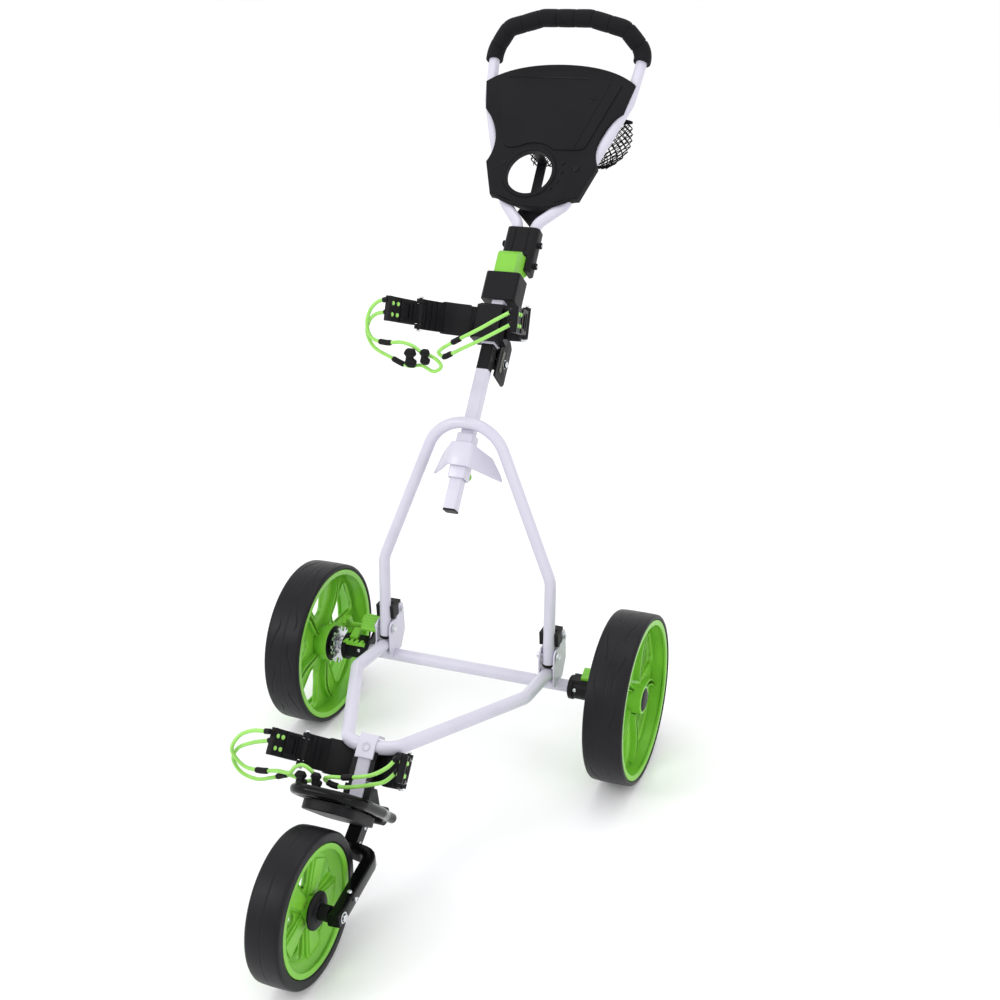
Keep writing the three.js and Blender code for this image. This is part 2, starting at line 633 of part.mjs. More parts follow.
// An ear on the housing's inner end, and the long pin that the brake pedal turns on.
function brakeMount() {
  const y = BRAKE_PIVOT.y;
  const z = BRAKE_PIVOT.z - AXLE_Z;
  const ear = plateX([
    [2, 12], [14, -4], [y + 4, z - 8], [y + 8, z], [y + 4, z + 7], [y - 5, z + 7],
  ], HOUSING.from, HOUSING.from + 4);
  return [ear, barX(BRAKE_PIN, HOUSING.from + 2, -STAR_X + 3, y, z, 12)];
}

// A small lever in the housing's top: lifting it frees the wheel.
function releaseLever(side, name) {
  const outline = [[-6, 16], [6, 16], [6, 23], [18, 30], [16, 33], [-2, 26], [-6, 26]];
  const lever = toGeometry(toSolid(moved(plateX(outline, LEVER.from, LEVER.to), 0, 0, AXLE_Z)));
  addPiece(trolley, name, side > 0 ? lever : mirrored(lever), greenPlastic);
}

// The foot pedal, its barrel and the tooth that drops into the star, as one moulding.
function brakePedal() {
  const inner = -HOUSING.from - 4 - GAP - BRAKE_PIVOT.x;
  const outer = STAR_X - 3.5 - BRAKE_PIVOT.x;
  const pad = plateX([[-42, 22], [-40, 18], [-12, 34], [-14, 39]], 19, 53);
  const stem = plateX([[-6, -3], [3, -5], [-12, 34], [-26, 27]], 13, inner);
  const barrel = barX(6, outer, inner);
  const tooth = box(outer, outer + 7, -3, 3, NOTCH_BOTTOM + 5, 46)
    .rotateX(-NOTCH_ANGLE)
    .translate(0, -BRAKE_PIVOT.y, AXLE_Z - BRAKE_PIVOT.z);
  const link = plateX([[-16, 12], [-10, 18], [5, 4], [-3, -5]], outer, outer + 12);
  const claw = join(tooth, link).rotateX(-BRAKE_TRAVEL);
  const bore = barX(BRAKE_PIN + GAP, outer - 5, inner + 5, 0, 0, 12);
  const pedalFrame = frameAt(trolley, BRAKE_PIVOT, 0);
  addPiece(pedalFrame, 'brake_pedal', cut(join(pad, stem, barrel, claw), bore), greenPlastic);
}

// ---------------------------------------------------------------- upright
const UPRIGHT_FOOT = -17;
const UPRIGHT_PATH = new BentPath([
  [LEG_X, 0, UPRIGHT_FOOT], [LEG_X, 0, 136], [46, 0, UPRIGHT_HEIGHT], [-46, 0, UPRIGHT_HEIGHT],
  [-LEG_X, 0, 136], [-LEG_X, 0, UPRIGHT_FOOT],
], 44);

function upright() {
  const boltRooms = [-1, 1].map((side) => barX(4 + GAP, side * LEG_X - 20, side * LEG_X + 20));
  const tube = cut(roundTube(UPRIGHT_PATH, LEG_RADIUS), ...boltRooms);
  addPiece(uprightFrame, 'a_frame_tube', tube, whitePaint);
}

const SLEEVE = { bottom: 56, top: 134, wall: 2.5 };
const SLEEVE_INSIDE = MAST_SIDE / 2 + GAP;
const KNOB_Z = SLEEVE.bottom + 16;

// The bent plate across the upright, with the sleeve that the mast slides in.
function wingBracket() {
  const outside = SLEEVE_INSIDE + SLEEVE.wall;
  const sleeve = box(-outside, outside, -outside, outside, SLEEVE.bottom, SLEEVE.top);
  const front = -outside - 3;
  const wingOutline = polygon([
    [-14, -26], [-52, -52], [-62, -52], [-40, 22], [-32, 24], [-14, 32],
    [14, 32], [32, 24], [40, 22], [62, -52], [52, -52], [14, -26],
  ]);
  const slab = plateY(wingOutline, -60, 60);
  const wings = plateZ([
    [-62, 39], [-18, front], [18, front], [62, 39], [60, 42], [17, front + 3], [-17, front + 3], [-60, 42],
  ], -80, 80);
  const folded = toGeometry(toSolid(wings).intersect(toSolid(slab)));
  const centre = (SLEEVE.bottom + SLEEVE.top) / 2;
  const pinBoss = barY(8, outside - 0.5, outside + 9, 0, KNOB_Z);
  const pinRoom = barY(4 + GAP, 0, outside + 20, 0, KNOB_Z);
  const mastRoom = box(-SLEEVE_INSIDE, SLEEVE_INSIDE, -SLEEVE_INSIDE, SLEEVE_INSIDE, -200, 200);
  const bracket = join(sleeve, moved(folded, 0, 0, centre), pinBoss);
  addPiece(mastFrame, 'wing_bracket', cut(bracket, pinRoom, mastRoom, uprightRoom()), whitePaint);
}

// The upright's tube in the mast's frame, a little thicker, to trim what is fitted between its legs.
function uprightRoom() {
  return sweep(circle(LEG_RADIUS + GAP + 0.2, 12), UPRIGHT_PATH)
    .applyMatrix4(between(uprightFrame, mastFrame));
}

function pullKnob() {
  const bossEnd = SLEEVE_INSIDE + SLEEVE.wall + 9;
  const knob = join(
    barY(4, MAST_SIDE / 2 + GAP, bossEnd + 10, 0, KNOB_Z),
    barY(8, bossEnd + GAP, bossEnd + 16, 0, KNOB_Z, 20),
  );
  addPiece(mastFrame, 'pull_knob', knob, greenPlastic);
}

// ---------------------------------------------------------------- mast
function lowerMast() {
  const tube = squareTube(MAST_SIDE, MAST_WALL, 3, LOWER_MAST_LENGTH);
  addPiece(mastFrame, 'lower_mast_tube', tube, whitePaint);
  const core = MAST_SIDE - 2 * MAST_WALL - 2 * GAP;
  const plug = join(
    plateZ(roundedRectangle(MAST_SIDE, MAST_SIDE, 3), 0, 3 - GAP),
    plateZ(roundedRectangle(core, core, 1), 2, 20),
  );
  addPiece(mastFrame, 'mast_end_cap', plug, blackPlastic);
}

const LUG_HALF = 10;

// A block in the top of the lower mast, with a lug that reaches back to the hinge bolt.
function hingeInsert() {
  const bottom = LOWER_MAST_LENGTH + GAP;
  const top = UPPER_MAST_START - GAP - 1.6;
  const core = MAST_SIDE - 2 * MAST_WALL - 2 * GAP;
  const { y, z } = MAST_HINGE;
  const block = plateZ(roundedRectangle(MAST_SIDE, MAST_SIDE, 3), bottom, top);
  const spigot = plateZ(roundedRectangle(core, core, 1), bottom - 30, bottom + 1);
  const lug = plateX([
    [5, bottom + 4], [y - 4, z - 11], [y + 8, z - 8], [y + 8, z + 8], [5, top - 2],
  ], -LUG_HALF, LUG_HALF);
  const eye = barX(11, -LUG_HALF, LUG_HALF, y, z, 24);
  const bore = barX(4 + GAP, -30, 30, y, z);
  addPiece(mastFrame, 'hinge_insert', cut(join(block, spigot, lug, eye), bore), blackPlastic);
}

const CHANNEL_TOP = 326;

// The folded channel behind the upper tube: its two sides hold the hinge bolt.
function hingeChannel() {
  const { y, z } = MAST_HINGE;
  const inner = LUG_HALF + GAP + 2.4;
  const outer = inner + 4;
  const cheek = [
    [14, 250], [y + 14, 246], [y + 19, 252], [y + 19, 318], [y + 6, CHANNEL_TOP], [14, CHANNEL_TOP],
  ];
  const web = box(-outer, outer, 12, 20, 303, CHANNEL_TOP);
  const back = box(-outer, outer, y + 15, y + 19, 300, 317);
  const bolt = join(
    barX(4, -outer - 1, outer + 1, y, z),
    barX(7, outer, outer + 4, y, z, 6),
    barX(7, -outer - 4, -outer, y, z, 6),
  );
  const cheeks = [plateX(cheek, -outer, -inner), plateX(cheek, inner, outer)];
  addPiece(mastFrame, 'hinge_channel', join(...cheeks, web, back, bolt), blackPlastic);
}

const UPPER_MAST_END = COLLAR.top + 20;

function upperMast() {
  const tube = squareTube(MAST_SIDE, MAST_WALL, UPPER_MAST_START, UPPER_MAST_END);
  addPiece(mastFrame, 'upper_mast_tube', tube, whitePaint);
}

const LEVER_PIN = { y: COLLAR.back + 6, z: COLLAR.top - 9 };

// A block clamped on the top of the upper tube; its lever is hinged at the back.
function collar() {
  const { bottom, top, halfWidth, front, back } = COLLAR;
  const body = plateZ([
    [-halfWidth, back], [-halfWidth, front + 4], [-halfWidth + 4, front], [halfWidth - 4, front],
    [halfWidth, front + 4], [halfWidth, back],
  ], bottom, top);
  const inside = MAST_SIDE / 2 + GAP;
  const tubeRoom = box(-inside, inside, -inside, inside, bottom - 1, top + 1);
  const ear = [[back - 2, top - 16], [back + 12, top - 14], [back + 12, top - 4], [back - 2, top - 2]];
  const ears = [-24, 17].map((x) => plateX(ear, x, x + 7));
  const pin = barX(3, -20, 20, LEVER_PIN.y, LEVER_PIN.z);
  addPiece(mastFrame, 'collar', cut(join(body, ...ears, pin), tubeRoom), blackPlastic);
}

// The ribbed lever that clamps the collar.
function camLever() {
  const { y, z } = LEVER_PIN;
  const half = 16.5;
  const outline = [
    [y - 5, z + 2], [y, z + 6], [y + 6, z + 4], [y + 16, z - 14], [y + 22, z - 40],
    [y + 14, z - 62], [y + 9, z - 62], [y + 13, z - 40], [y + 6, z - 20], [y - 5, z - 8],
  ];
  const ribOutline = [[y + 12, z - 14], [y + 18, z - 14], [y + 27, z - 40], [y + 18, z - 62], [y + 12, z - 58]];
  const ribs = [-12, -2, 8].map((x) => plateX(ribOutline, x, x + 4));
  const pinRoom = barX(3 + GAP, -30, 30, y, z, 16);
  addPiece(mastFrame, 'cam_lever', cut(join(plateX(outline, -half, half), ...ribs), pinRoom), blackPlastic);
}

const TONGUE_HALF = 18.5;

// The green tongue stands on the collar and carries the handle's pivot behind it.
function handleTongue() {
  const { y, z } = HANDLE_PIVOT;
  const start = COLLAR.top + GAP;
  const outline = [
    [-14, start], [22, start], [y + 9, z - 14], [y + 12, z - 2], [y + 6, z + 10], [y - 6, z + 10],
    [8, z + 6], [2, z + 8], [-9, z + 3], [-14, z - 4],
  ];
  const inside = MAST_SIDE / 2 + GAP;
  const tubeRoom = box(-inside, inside, -inside, inside, start - 1, UPPER_MAST_END + GAP);
  const bore = barX(4 + GAP, -30, 30, y, z);
  const tongue = plateX(outline, -TONGUE_HALF, TONGUE_HALF);
  addPiece(mastFrame, 'handle_tongue', cut(tongue, tubeRoom, bore), greenPlastic);
}

// ---------------------------------------------------------------- handle
const BLOCK = { top: 534, halfWidth: 30, depth: 17 };
const HANDLE_TUBE_RADIUS = 10;
const HANDLE_FOOT_X = 17;

// The clevis that takes the handle's two legs in sockets and straddles the tongue.
function handleBlock() {
  const { y, z } = HANDLE_PIVOT;
  const { top, halfWidth, depth } = BLOCK;
  const bottom = z - 16;
  const solid = plateZ(roundedRectangle(2 * halfWidth, 2 * depth, 10), bottom, top);
  const roomHalf = TONGUE_HALF + GAP + 0.2;
  const tongueRoom = box(-roomHalf, roomHalf, -40, 40, bottom - 5, z + 14);
  const tubeRooms = [-1, 1].map(
    (side) => barZ(HANDLE_TUBE_RADIUS + GAP, z + 34, top + 10, side * HANDLE_FOOT_X, 0, 20));
  const heads = [z, z + 40].flatMap((headZ) => [
    barX(5.5, halfWidth - 1, halfWidth + 5, 0, headZ, 12),
    barX(5.5, -halfWidth - 5, -halfWidth + 1, 0, headZ, 12),
  ]);
  const bolt = barX(4, -halfWidth, halfWidth, 0, z);
  const block = join(cut(solid, tongueRoom, ...tubeRooms), ...heads, bolt);
  addPiece(mastFrame, 'handle_block', moved(block, 0, y, 0), blackPlastic);
}

const HANDLE_LEG = [
  [HANDLE_FOOT_X, HANDLE_PIVOT.y, 502], [HANDLE_FOOT_X, HANDLE_PIVOT.y, 547],
  [56, HANDLE_PLANE_Y, 592], [92, HANDLE_PLANE_Y, 682], [134, HANDLE_PLANE_Y, 800],
  [144, HANDLE_PLANE_Y - 6, 900],
];
const HANDLE_ARCH = [[112, HANDLE_PLANE_Y - 38, 926], [45, 3, 940]];

function handlePath(points) {
  const otherHalf = points.map(([x, y, z]) => [-x, y, z]).reverse();
  return new BentPath([...points, ...otherHalf], 30);
}

const HANDLE_PATH = handlePath([...HANDLE_LEG, ...HANDLE_ARCH]);

function handleTube() {
  addPiece(mastFrame, 'handle_tube', roundTube(HANDLE_PATH, HANDLE_TUBE_RADIUS), whitePaint);
}

// Foam sleeve round the top of the handle.
function handleGrip() {
  const end = new THREE.Vector3(...HANDLE_LEG.at(-1));
  const shoulder = new THREE.Vector3(...HANDLE_ARCH[0]);
  const below = new THREE.Vector3(...HANDLE_LEG.at(-2));
  const start = end.clone().lerp(below, 21 / end.distanceTo(below)).toArray();
  const section = circle(16, 14);
  section.holes.push(circle(HANDLE_TUBE_RADIUS + 1.2, 10));
  const path = handlePath([start, end.toArray(), shoulder.toArray(), HANDLE_ARCH[1]]);
  addPiece(mastFrame, 'handle_grip', sweep(section, path), gripFoam);
}

const CONSOLE_FRONT = 35;
const CONSOLE_BACK = HANDLE_PLANE_Y;
const CONSOLE_WALL = 4;
const HOLDER_HOLE = { x: -17, z: 646, radius: 43 };

// The console outline as seen from the front, made smaller all round by the inset.
function consoleOutline(inset) {
  const bottom = 577 + inset;
  const top = 866 - inset;
  const half = (x) => x - inset;
  const shape = new THREE.Shape();
  shape.moveTo(0, bottom);
  shape.bezierCurveTo(30, bottom, 50, bottom + 20, half(83), 600 + inset);
  shape.lineTo(half(105), 664);
  shape.bezierCurveTo(half(92), 690, half(90), 732, half(131), 772);
  shape.lineTo(half(143), 828 - inset);
  shape.bezierCurveTo(110, top - 12, 60, top, 0, top);
  shape.bezierCurveTo(-60, top, -110, top - 12, -half(143), 828 - inset);
  shape.lineTo(-half(131), 772);
  shape.bezierCurveTo(-half(90), 732, -half(92), 690, -half(105), 664);
  shape.lineTo(-half(83), 600 + inset);
  shape.bezierCurveTo(-50, bottom + 20, -30, bottom, 0, bottom);
  return shape;
}

// The console is a shallow shell, open at the back, notched over the handle's two legs.
function consoleShell() {
  const slab = plateY(consoleOutline(0), CONSOLE_FRONT, CONSOLE_BACK);
  const hollow = plateY(consoleOutline(CONSOLE_WALL), CONSOLE_FRONT + CONSOLE_WALL, CONSOLE_BACK + 5);
  const { x, z, radius } = HOLDER_HOLE;
  const hole = barY(radius, CONSOLE_FRONT - 5, CONSOLE_BACK + 5, x, z, 28);
  const rimRing = cut(
    barY(radius + 4, CONSOLE_FRONT + 1, CONSOLE_BACK - 5, x, z, 28), barY(radius, 0, 60, x, z, 28));
  const legRoom = sweep(circle(HANDLE_TUBE_RADIUS + GAP + 0.3, 12), HANDLE_PATH);
  const shell = cut(join(cut(slab, hollow, hole), rimRing), legRoom);
  addPiece(mastFrame, 'console', shell, blackPlastic);
}

// A strap behind the console's hole: it reaches back from the shell, runs down and returns.
function bottleHolder() {
  const { x } = HOLDER_HOLE;
  const start = CONSOLE_FRONT + CONSOLE_WALL + GAP;
  const back = 88;
  const strap = (half, y0, y1, z0, z1) => box(x - half, x + half, y0, y1, z0, z1);
  const tail = plateY(polygon([[-36, 584], [-30, 596], [32, 596], [36, 590], [6, 552], [-2, 552]]), 68, 71);
  addPiece(mastFrame, 'bottle_holder', join(
    strap(9, start, back, 693, 697),
    strap(9, back - 4, back, 592, 697),
    strap(9, start, back, 590, 594),
    tail,
  ), blackPlastic);
}

const NET_WALL = 3;

// A net pocket behind the console, open at the top.
function meshBag() {
  const outline = (inset) => {
    const shape = new THREE.Shape();
    shape.moveTo(-46 + inset, 698 + inset);
    shape.lineTo(100, 698 + inset);
    shape.quadraticCurveTo(138 - inset, 698 + inset, 138 - inset, 736);
    shape.lineTo(126 - inset, 796 + 4 * inset);
    shape.lineTo(-66 + inset, 796 + 4 * inset);
    shape.lineTo(-66 + inset, 718);
    return shape;
  };
  const outer = plateY(outline(0), 91, 129);
  const inner = plateY(outline(NET_WALL), 91 + NET_WALL, 129 - NET_WALL);
  addPiece(mastFrame, 'mesh_bag', cut(outer, inner), meshFabric);
}

// ---------------------------------------------------------------- elastic cords and their hooks
const LOWER_LEFT_CORD = [
  [-113, -478, 297], [-138, -477, 292], [-165, -475, 275], [-181, -475, 246], [-164, -475, 222],
  [-134, -475, 220], [-106, -475, 226], [-84, -475, 228], [-74, -475, 240], [-60, -475, 247],
  [-46, -474, 238], [-46, -471, 224], [-62, -468, 213], [-92, -466, 216], [-122, -465, 203],
  [-152, -464, 193], [-178, -464, 200], [-188, -465, 222], [-176, -467, 245], [-150, -469, 262],
  [-113, -472, 277],
];
const LOWER_RIGHT_CORD = [
  [96, -477, 295], [82, -477, 278], [56, -476, 258], [30, -475, 247], [4, -475, 240],
  [-16, -475, 236], [-25, -475, 231], [-16, -475, 224], [4, -475, 223], [26, -475, 229],
  [50, -475, 238], [74, -476, 250], [96, -477, 273],
];
const UPPER_LEFT_CORD = [
  [-116, 6, 811], [-130, 8, 806], [-146, 10, 790], [-154, 10, 765], [-147, 10, 743],
  [-122, 10, 737], [-94, 10, 740], [-73, 9, 736], [-58, 8, 727], [-34, 6, 720], [-23, 6, 707],
  [-36, 6, 697], [-60, 9, 704], [-84, 13, 699], [-116, 15, 710], [-148, 16, 726],
  [-158, 16, 750], [-150, 14, 772], [-134, 10, 785], [-116, 7, 790],
];
const UPPER_RIGHT_CORD = [
  [101, 8, 809], [72, 9, 792], [46, 9, 776], [16, 9, 759], [-10, 9, 744], [-22, 9, 736],
  [-28, 9, 729], [-20, 9, 723], [-6, 9, 729], [18, 9, 742], [46, 9, 757], [72, 9, 772],
  [101, 8, 789],
];

function cord(name, route) {
  const curve = new THREE.CatmullRomCurve3(route.map((point) => new THREE.Vector3(...point)));
  addPiece(trolley, name, sweep(circle(CORD_RADIUS, 8), curve, CORD_STEPS), greenCord);
}

// A moulded hook beside the loop's end: a short bar with a notch for the other cord's hook.
function hook(name, x, y, z) {
  const body = plateY(roundedRectangle(12, 24, 5), -4, 4);
  const notch = box(-1, 10, -10, 10, -3, 3);
  addPiece(trolley, name, moved(cut(body, notch), x, y, z), blackPlastic);
}

lowerLoop();
crossTube();
hingeBracket(-1, 'left_hinge_bracket');
hingeBracket(1, 'right_hinge_bracket');
pivotBolt(-1, 'left_pivot_bolt');
pivotBolt(1, 'right_pivot_bolt');
legClip(-1, 'left_leg_clip');
legClip(1, 'right_leg_clip');
noseAndStub();
lowerCradle();
stubFitting();
bagRest();
axleHousing(-1, 'left_axle_housing');
axleHousing(1, 'right_axle_housing');
releaseLever(-1, 'left_release_lever');
releaseLever(1, 'right_release_lever');
brakePedal();
rearAxle();
rearWheel(-1, 'left');
rearWheel(1, 'right');
brakeStar();
fork();
upright();
wingBracket();
pullKnob();
lowerMast();
hingeInsert();
hingeChannel();
upperMast();
upperCradle();
collar();
camLever();
handleTongue();
handleBlock();
handleTube();
handleGrip();
consoleShell();
bottleHolder();
meshBag();
cord('lower_left_cord', LOWER_LEFT_CORD);
cord('lower_right_cord', LOWER_RIGHT_CORD);
cord('upper_left_cord', UPPER_LEFT_CORD);
cord('upper_right_cord', UPPER_RIGHT_CORD);
hook('lower_left_hook', -60, -484, 229);
hook('lower_right_hook', -34, -484, 233);
hook('upper_left_hook', -75, 1, 718);
hook('upper_right_hook', -48, -1, 723);

export default trolley;
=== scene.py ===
import json
import math

import bmesh
import bpy
from mathutils import Matrix, Vector

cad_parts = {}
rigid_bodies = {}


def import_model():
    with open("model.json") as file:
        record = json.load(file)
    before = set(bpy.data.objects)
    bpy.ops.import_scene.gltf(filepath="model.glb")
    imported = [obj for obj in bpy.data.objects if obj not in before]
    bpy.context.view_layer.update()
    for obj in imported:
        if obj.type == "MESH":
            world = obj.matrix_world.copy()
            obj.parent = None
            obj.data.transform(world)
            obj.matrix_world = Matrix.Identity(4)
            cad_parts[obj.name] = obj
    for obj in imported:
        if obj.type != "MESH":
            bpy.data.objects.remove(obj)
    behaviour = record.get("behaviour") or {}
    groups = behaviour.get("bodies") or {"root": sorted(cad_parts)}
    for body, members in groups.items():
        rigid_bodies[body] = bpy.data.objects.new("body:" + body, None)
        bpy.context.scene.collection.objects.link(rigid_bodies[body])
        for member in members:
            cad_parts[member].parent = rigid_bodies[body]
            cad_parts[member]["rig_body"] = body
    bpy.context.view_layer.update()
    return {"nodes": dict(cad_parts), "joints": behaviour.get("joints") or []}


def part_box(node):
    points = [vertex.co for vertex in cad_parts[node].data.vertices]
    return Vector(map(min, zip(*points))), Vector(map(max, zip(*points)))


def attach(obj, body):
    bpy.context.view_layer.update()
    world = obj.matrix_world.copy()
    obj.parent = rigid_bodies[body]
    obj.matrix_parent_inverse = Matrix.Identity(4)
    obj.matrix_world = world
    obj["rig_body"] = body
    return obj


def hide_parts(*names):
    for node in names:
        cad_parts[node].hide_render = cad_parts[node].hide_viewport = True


# A golf push trolley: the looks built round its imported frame. Metres, +Z up, +Y towards the pusher.
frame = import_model()

joints = {joint["name"]: joint for joint in frame["joints"]}
X_AXIS = Vector((1, 0, 0))
Y_AXIS = Vector((0, 1, 0))
Z_AXIS = Vector((0, 0, 1))
SIDES = (("left", -1), ("right", 1))


# ---------------------------------------------------------------- frames of the trolley's parts
def joint_point(name):
    return Vector(joints[name]["pos_m"])


def joint_lean(name):
    """How far a joint's axis leans back from straight up, in radians."""
    axis = Vector(joints[name]["axis"])
    return math.atan2(axis.y, axis.z)


def tilted(origin, lean):
    """A frame that leans back: its Y runs down the slope and its Z up it."""
    return Matrix.Translation(origin) @ Matrix.Rotation(-lean, 4, "X")


def frame_through(point, local, lean):
    """The leaning frame in which a known point has the given local coordinates."""
    turn = Matrix.Rotation(-lean, 4, "X")
    return Matrix.Translation(point - turn @ Vector(local)) @ turn


MAST_LEAN = joint_lean("mast_slide")
MAST = frame_through(joint_point("mast_fold"), (0, 0.044, 0.282), MAST_LEAN)
LOWER_CRADLE = frame_through(
    joint_point("lower_right_arm_swing"), (0.08426, -0.04553, 0), MAST_LEAN
)
UPPER_CRADLE = frame_through(
    joint_point("upper_right_arm_swing"),
    (0.09378, -0.08859, 0),
    joint_lean("upper_right_arm_swing"),
)
STUB = LOWER_CRADLE @ Matrix.Translation((0, 0, 0.007))
REST = tilted(joint_point("fork_fold"), math.radians(45))
UPRIGHT = tilted(joint_point("upright_fold"), math.radians(7))
REAR_AXLE = joint_point("right_wheel_spin")
LOOP = tilted((0, REAR_AXLE.y - 0.008, 0.172), math.radians(9))
PEDAL = Matrix.Translation(joint_point("brake_press"))

# A flat outline's own x and y go to these directions, and its thickness to the third.
SIDE_ON = Matrix(((0, 0, 1, 0), (1, 0, 0, 0), (0, 1, 0, 0), (0, 0, 0, 1)))  # outline in Y and Z
FACE_ON = Matrix(((1, 0, 0, 0), (0, 0, -1, 0), (0, 1, 0, 0), (0, 0, 0, 1)))  # outline in X and Z


# ---------------------------------------------------------------- camera
CAMERA_POSITION = (0.8734, -1.8786, 1.4652)
CAMERA_AZIMUTH = math.radians(22.385)
CAMERA_ELEVATION = math.radians(25.012)
CAMERA_ROLL = math.radians(-2.044)
CAMERA_LENS = 50.47


def add_camera():
    data = bpy.data.cameras.new("camera")
    data.sensor_width = 36
    data.lens = CAMERA_LENS
    data.clip_end = 100
    back = Vector((
        math.sin(CAMERA_AZIMUTH) * math.cos(CAMERA_ELEVATION),
        -math.cos(CAMERA_AZIMUTH) * math.cos(CAMERA_ELEVATION),
        math.sin(CAMERA_ELEVATION),
    ))
    level = Z_AXIS.cross(back).normalized()
    upward = back.cross(level)
    right = level * math.cos(CAMERA_ROLL) + upward * math.sin(CAMERA_ROLL)
    up = upward * math.cos(CAMERA_ROLL) - level * math.sin(CAMERA_ROLL)
    camera = bpy.data.objects.new("camera", data)
    turn = Matrix((right, up, back)).transposed().to_4x4()
    camera.matrix_world = Matrix.Translation(CAMERA_POSITION) @ turn
    bpy.context.scene.collection.objects.link(camera)
    bpy.context.scene.camera = camera


add_camera()


# ---------------------------------------------------------------- materials
def linear(red, green, blue):
    """A colour given as 0 to 255 screen values, as the shader's linear values."""
    def channel(value):
        share = value / 255
        return share / 12.92 if share <= 0.04045 else ((share + 0.055) / 1.055) ** 2.4
    return (channel(red), channel(green), channel(blue), 1.0)


def noise(tree, scale, detail, stretch=(1, 1, 1)):
    place = tree.nodes.new("ShaderNodeTexCoord")
    mapping = tree.nodes.new("ShaderNodeMapping")
    mapping.inputs["Scale"].default_value = stretch
    node = tree.nodes.new("ShaderNodeTexNoise")
    node.inputs["Scale"].default_value = scale
    node.inputs["Detail"].default_value = detail
    tree.links.new(place.outputs["Object"], mapping.inputs["Vector"])
    tree.links.new(mapping.outputs["Vector"], node.inputs["Vector"])
    return node.outputs["Fac"]


def surface(name, dark, light, rough, grain, bump, patch=14.0, metallic=0.0, coat=0.0,
            specular=0.5, sheen=0.0, stretch=(1, 1, 1), edge=0.0005):
    """A procedural finish: two shades in patches, uneven roughness, a fine grain, soft edges."""
    material = bpy.data.materials.new(name)
    material.use_nodes = True
    tree = material.node_tree
    link = tree.links.new
    shader = tree.nodes["Principled BSDF"]
    shader.inputs["Metallic"].default_value = metallic
    shader.inputs["Coat Weight"].default_value = coat
    shader.inputs["Coat Roughness"].default_value = 0.12
    shader.inputs["Specular IOR Level"].default_value = specular
    shader.inputs["Sheen Weight"].default_value = sheen
    shader.inputs["Sheen Roughness"].default_value = 0.4
    patches = noise(tree, patch, 5)
    grains = noise(tree, grain, 2, stretch)
    ramp = tree.nodes.new("ShaderNodeValToRGB")
    ramp.color_ramp.elements[0].position = 0.32
    ramp.color_ramp.elements[0].color = dark
    ramp.color_ramp.elements[1].position = 0.68
    ramp.color_ramp.elements[1].color = light
    both = tree.nodes.new("ShaderNodeMath")
    both.operation = "MULTIPLY_ADD"
    both.inputs[1].default_value = 0.35
    link(grains, both.inputs[0])
    link(patches, both.inputs[2])
    link(both.outputs[0], ramp.inputs["Fac"])
    link(ramp.outputs["Color"], shader.inputs["Base Color"])
    spread = tree.nodes.new("ShaderNodeMapRange")
    spread.inputs["From Min"].default_value = 0.4
    spread.inputs["From Max"].default_value = 0.95
    spread.inputs["To Min"].default_value = rough[0]
    spread.inputs["To Max"].default_value = rough[1]
    link(both.outputs[0], spread.inputs["Value"])
    link(spread.outputs["Result"], shader.inputs["Roughness"])
    rounding = tree.nodes.new("ShaderNodeBevel")
    rounding.samples = 3
    rounding.inputs["Radius"].default_value = edge
    relief = tree.nodes.new("ShaderNodeBump")
    relief.inputs["Strength"].default_value = bump
    relief.inputs["Distance"].default_value = 0.0004
    link(grains, relief.inputs["Height"])
    link(rounding.outputs["Normal"], relief.inputs["Normal"])
    link(relief.outputs["Normal"], shader.inputs["Normal"])
    return material


WHITE = surface(
    "white_powder_coat", linear(188, 185, 200), linear(200, 197, 212), (0.28, 0.42), 1400, 0.10,
    coat=0.25)
BLACK = surface(
    "black_moulding", linear(10, 10, 12), linear(19, 18, 21), (0.36, 0.54), 2200, 0.22,
    specular=0.16)
BLACK_SATIN = surface(
    "black_rubber", linear(14, 13, 16), linear(23, 22, 25), (0.40, 0.54), 2600, 0.15,
    specular=0.18)
GLOSS = surface(
    "black_gloss_paint", linear(7, 7, 8), linear(13, 13, 15), (0.12, 0.24), 1600, 0.06,
    coat=0.05, specular=0.12)
CONSOLE_PLASTIC = surface(
    "console_plastic", linear(13, 13, 15), linear(21, 20, 23), (0.50, 0.64), 1500, 0.45,
    specular=0.12)
GREEN = surface(
    "green_moulding", linear(106, 176, 44), linear(120, 190, 54), (0.30, 0.46), 1800, 0.10,
    patch=9)
LIME = surface(
    "green_elastic_cord", linear(134, 200, 78), linear(152, 216, 98), (0.42, 0.62), 1500, 0.55,
    patch=60, sheen=0.3)
TYRE = surface(
    "tyre_foam_rubber", linear(12, 12, 15), linear(21, 20, 24), (0.34, 0.50), 1100, 0.25,
    patch=22, specular=0.20)
FOAM = surface(
    "grip_foam", linear(14, 14, 17), linear(25, 25, 28), (0.72, 0.9), 900, 0.75, patch=40,
    specular=0.12, sheen=0.04)
STEEL = surface(
    "zinc_steel", linear(178, 180, 184), linear(214, 216, 220), (0.18, 0.36), 700, 0.12,
    metallic=1.0, stretch=(1, 6, 1))
DULL_STEEL = surface(
    "dull_steel", linear(92, 92, 86), linear(122, 122, 114), (0.34, 0.5), 700, 0.12,
    metallic=1.0)
NET = surface(
    "net_yarn", linear(16, 16, 18), linear(28, 28, 31), (0.7, 0.9), 2000, 0.6, patch=80,
    specular=0.2)


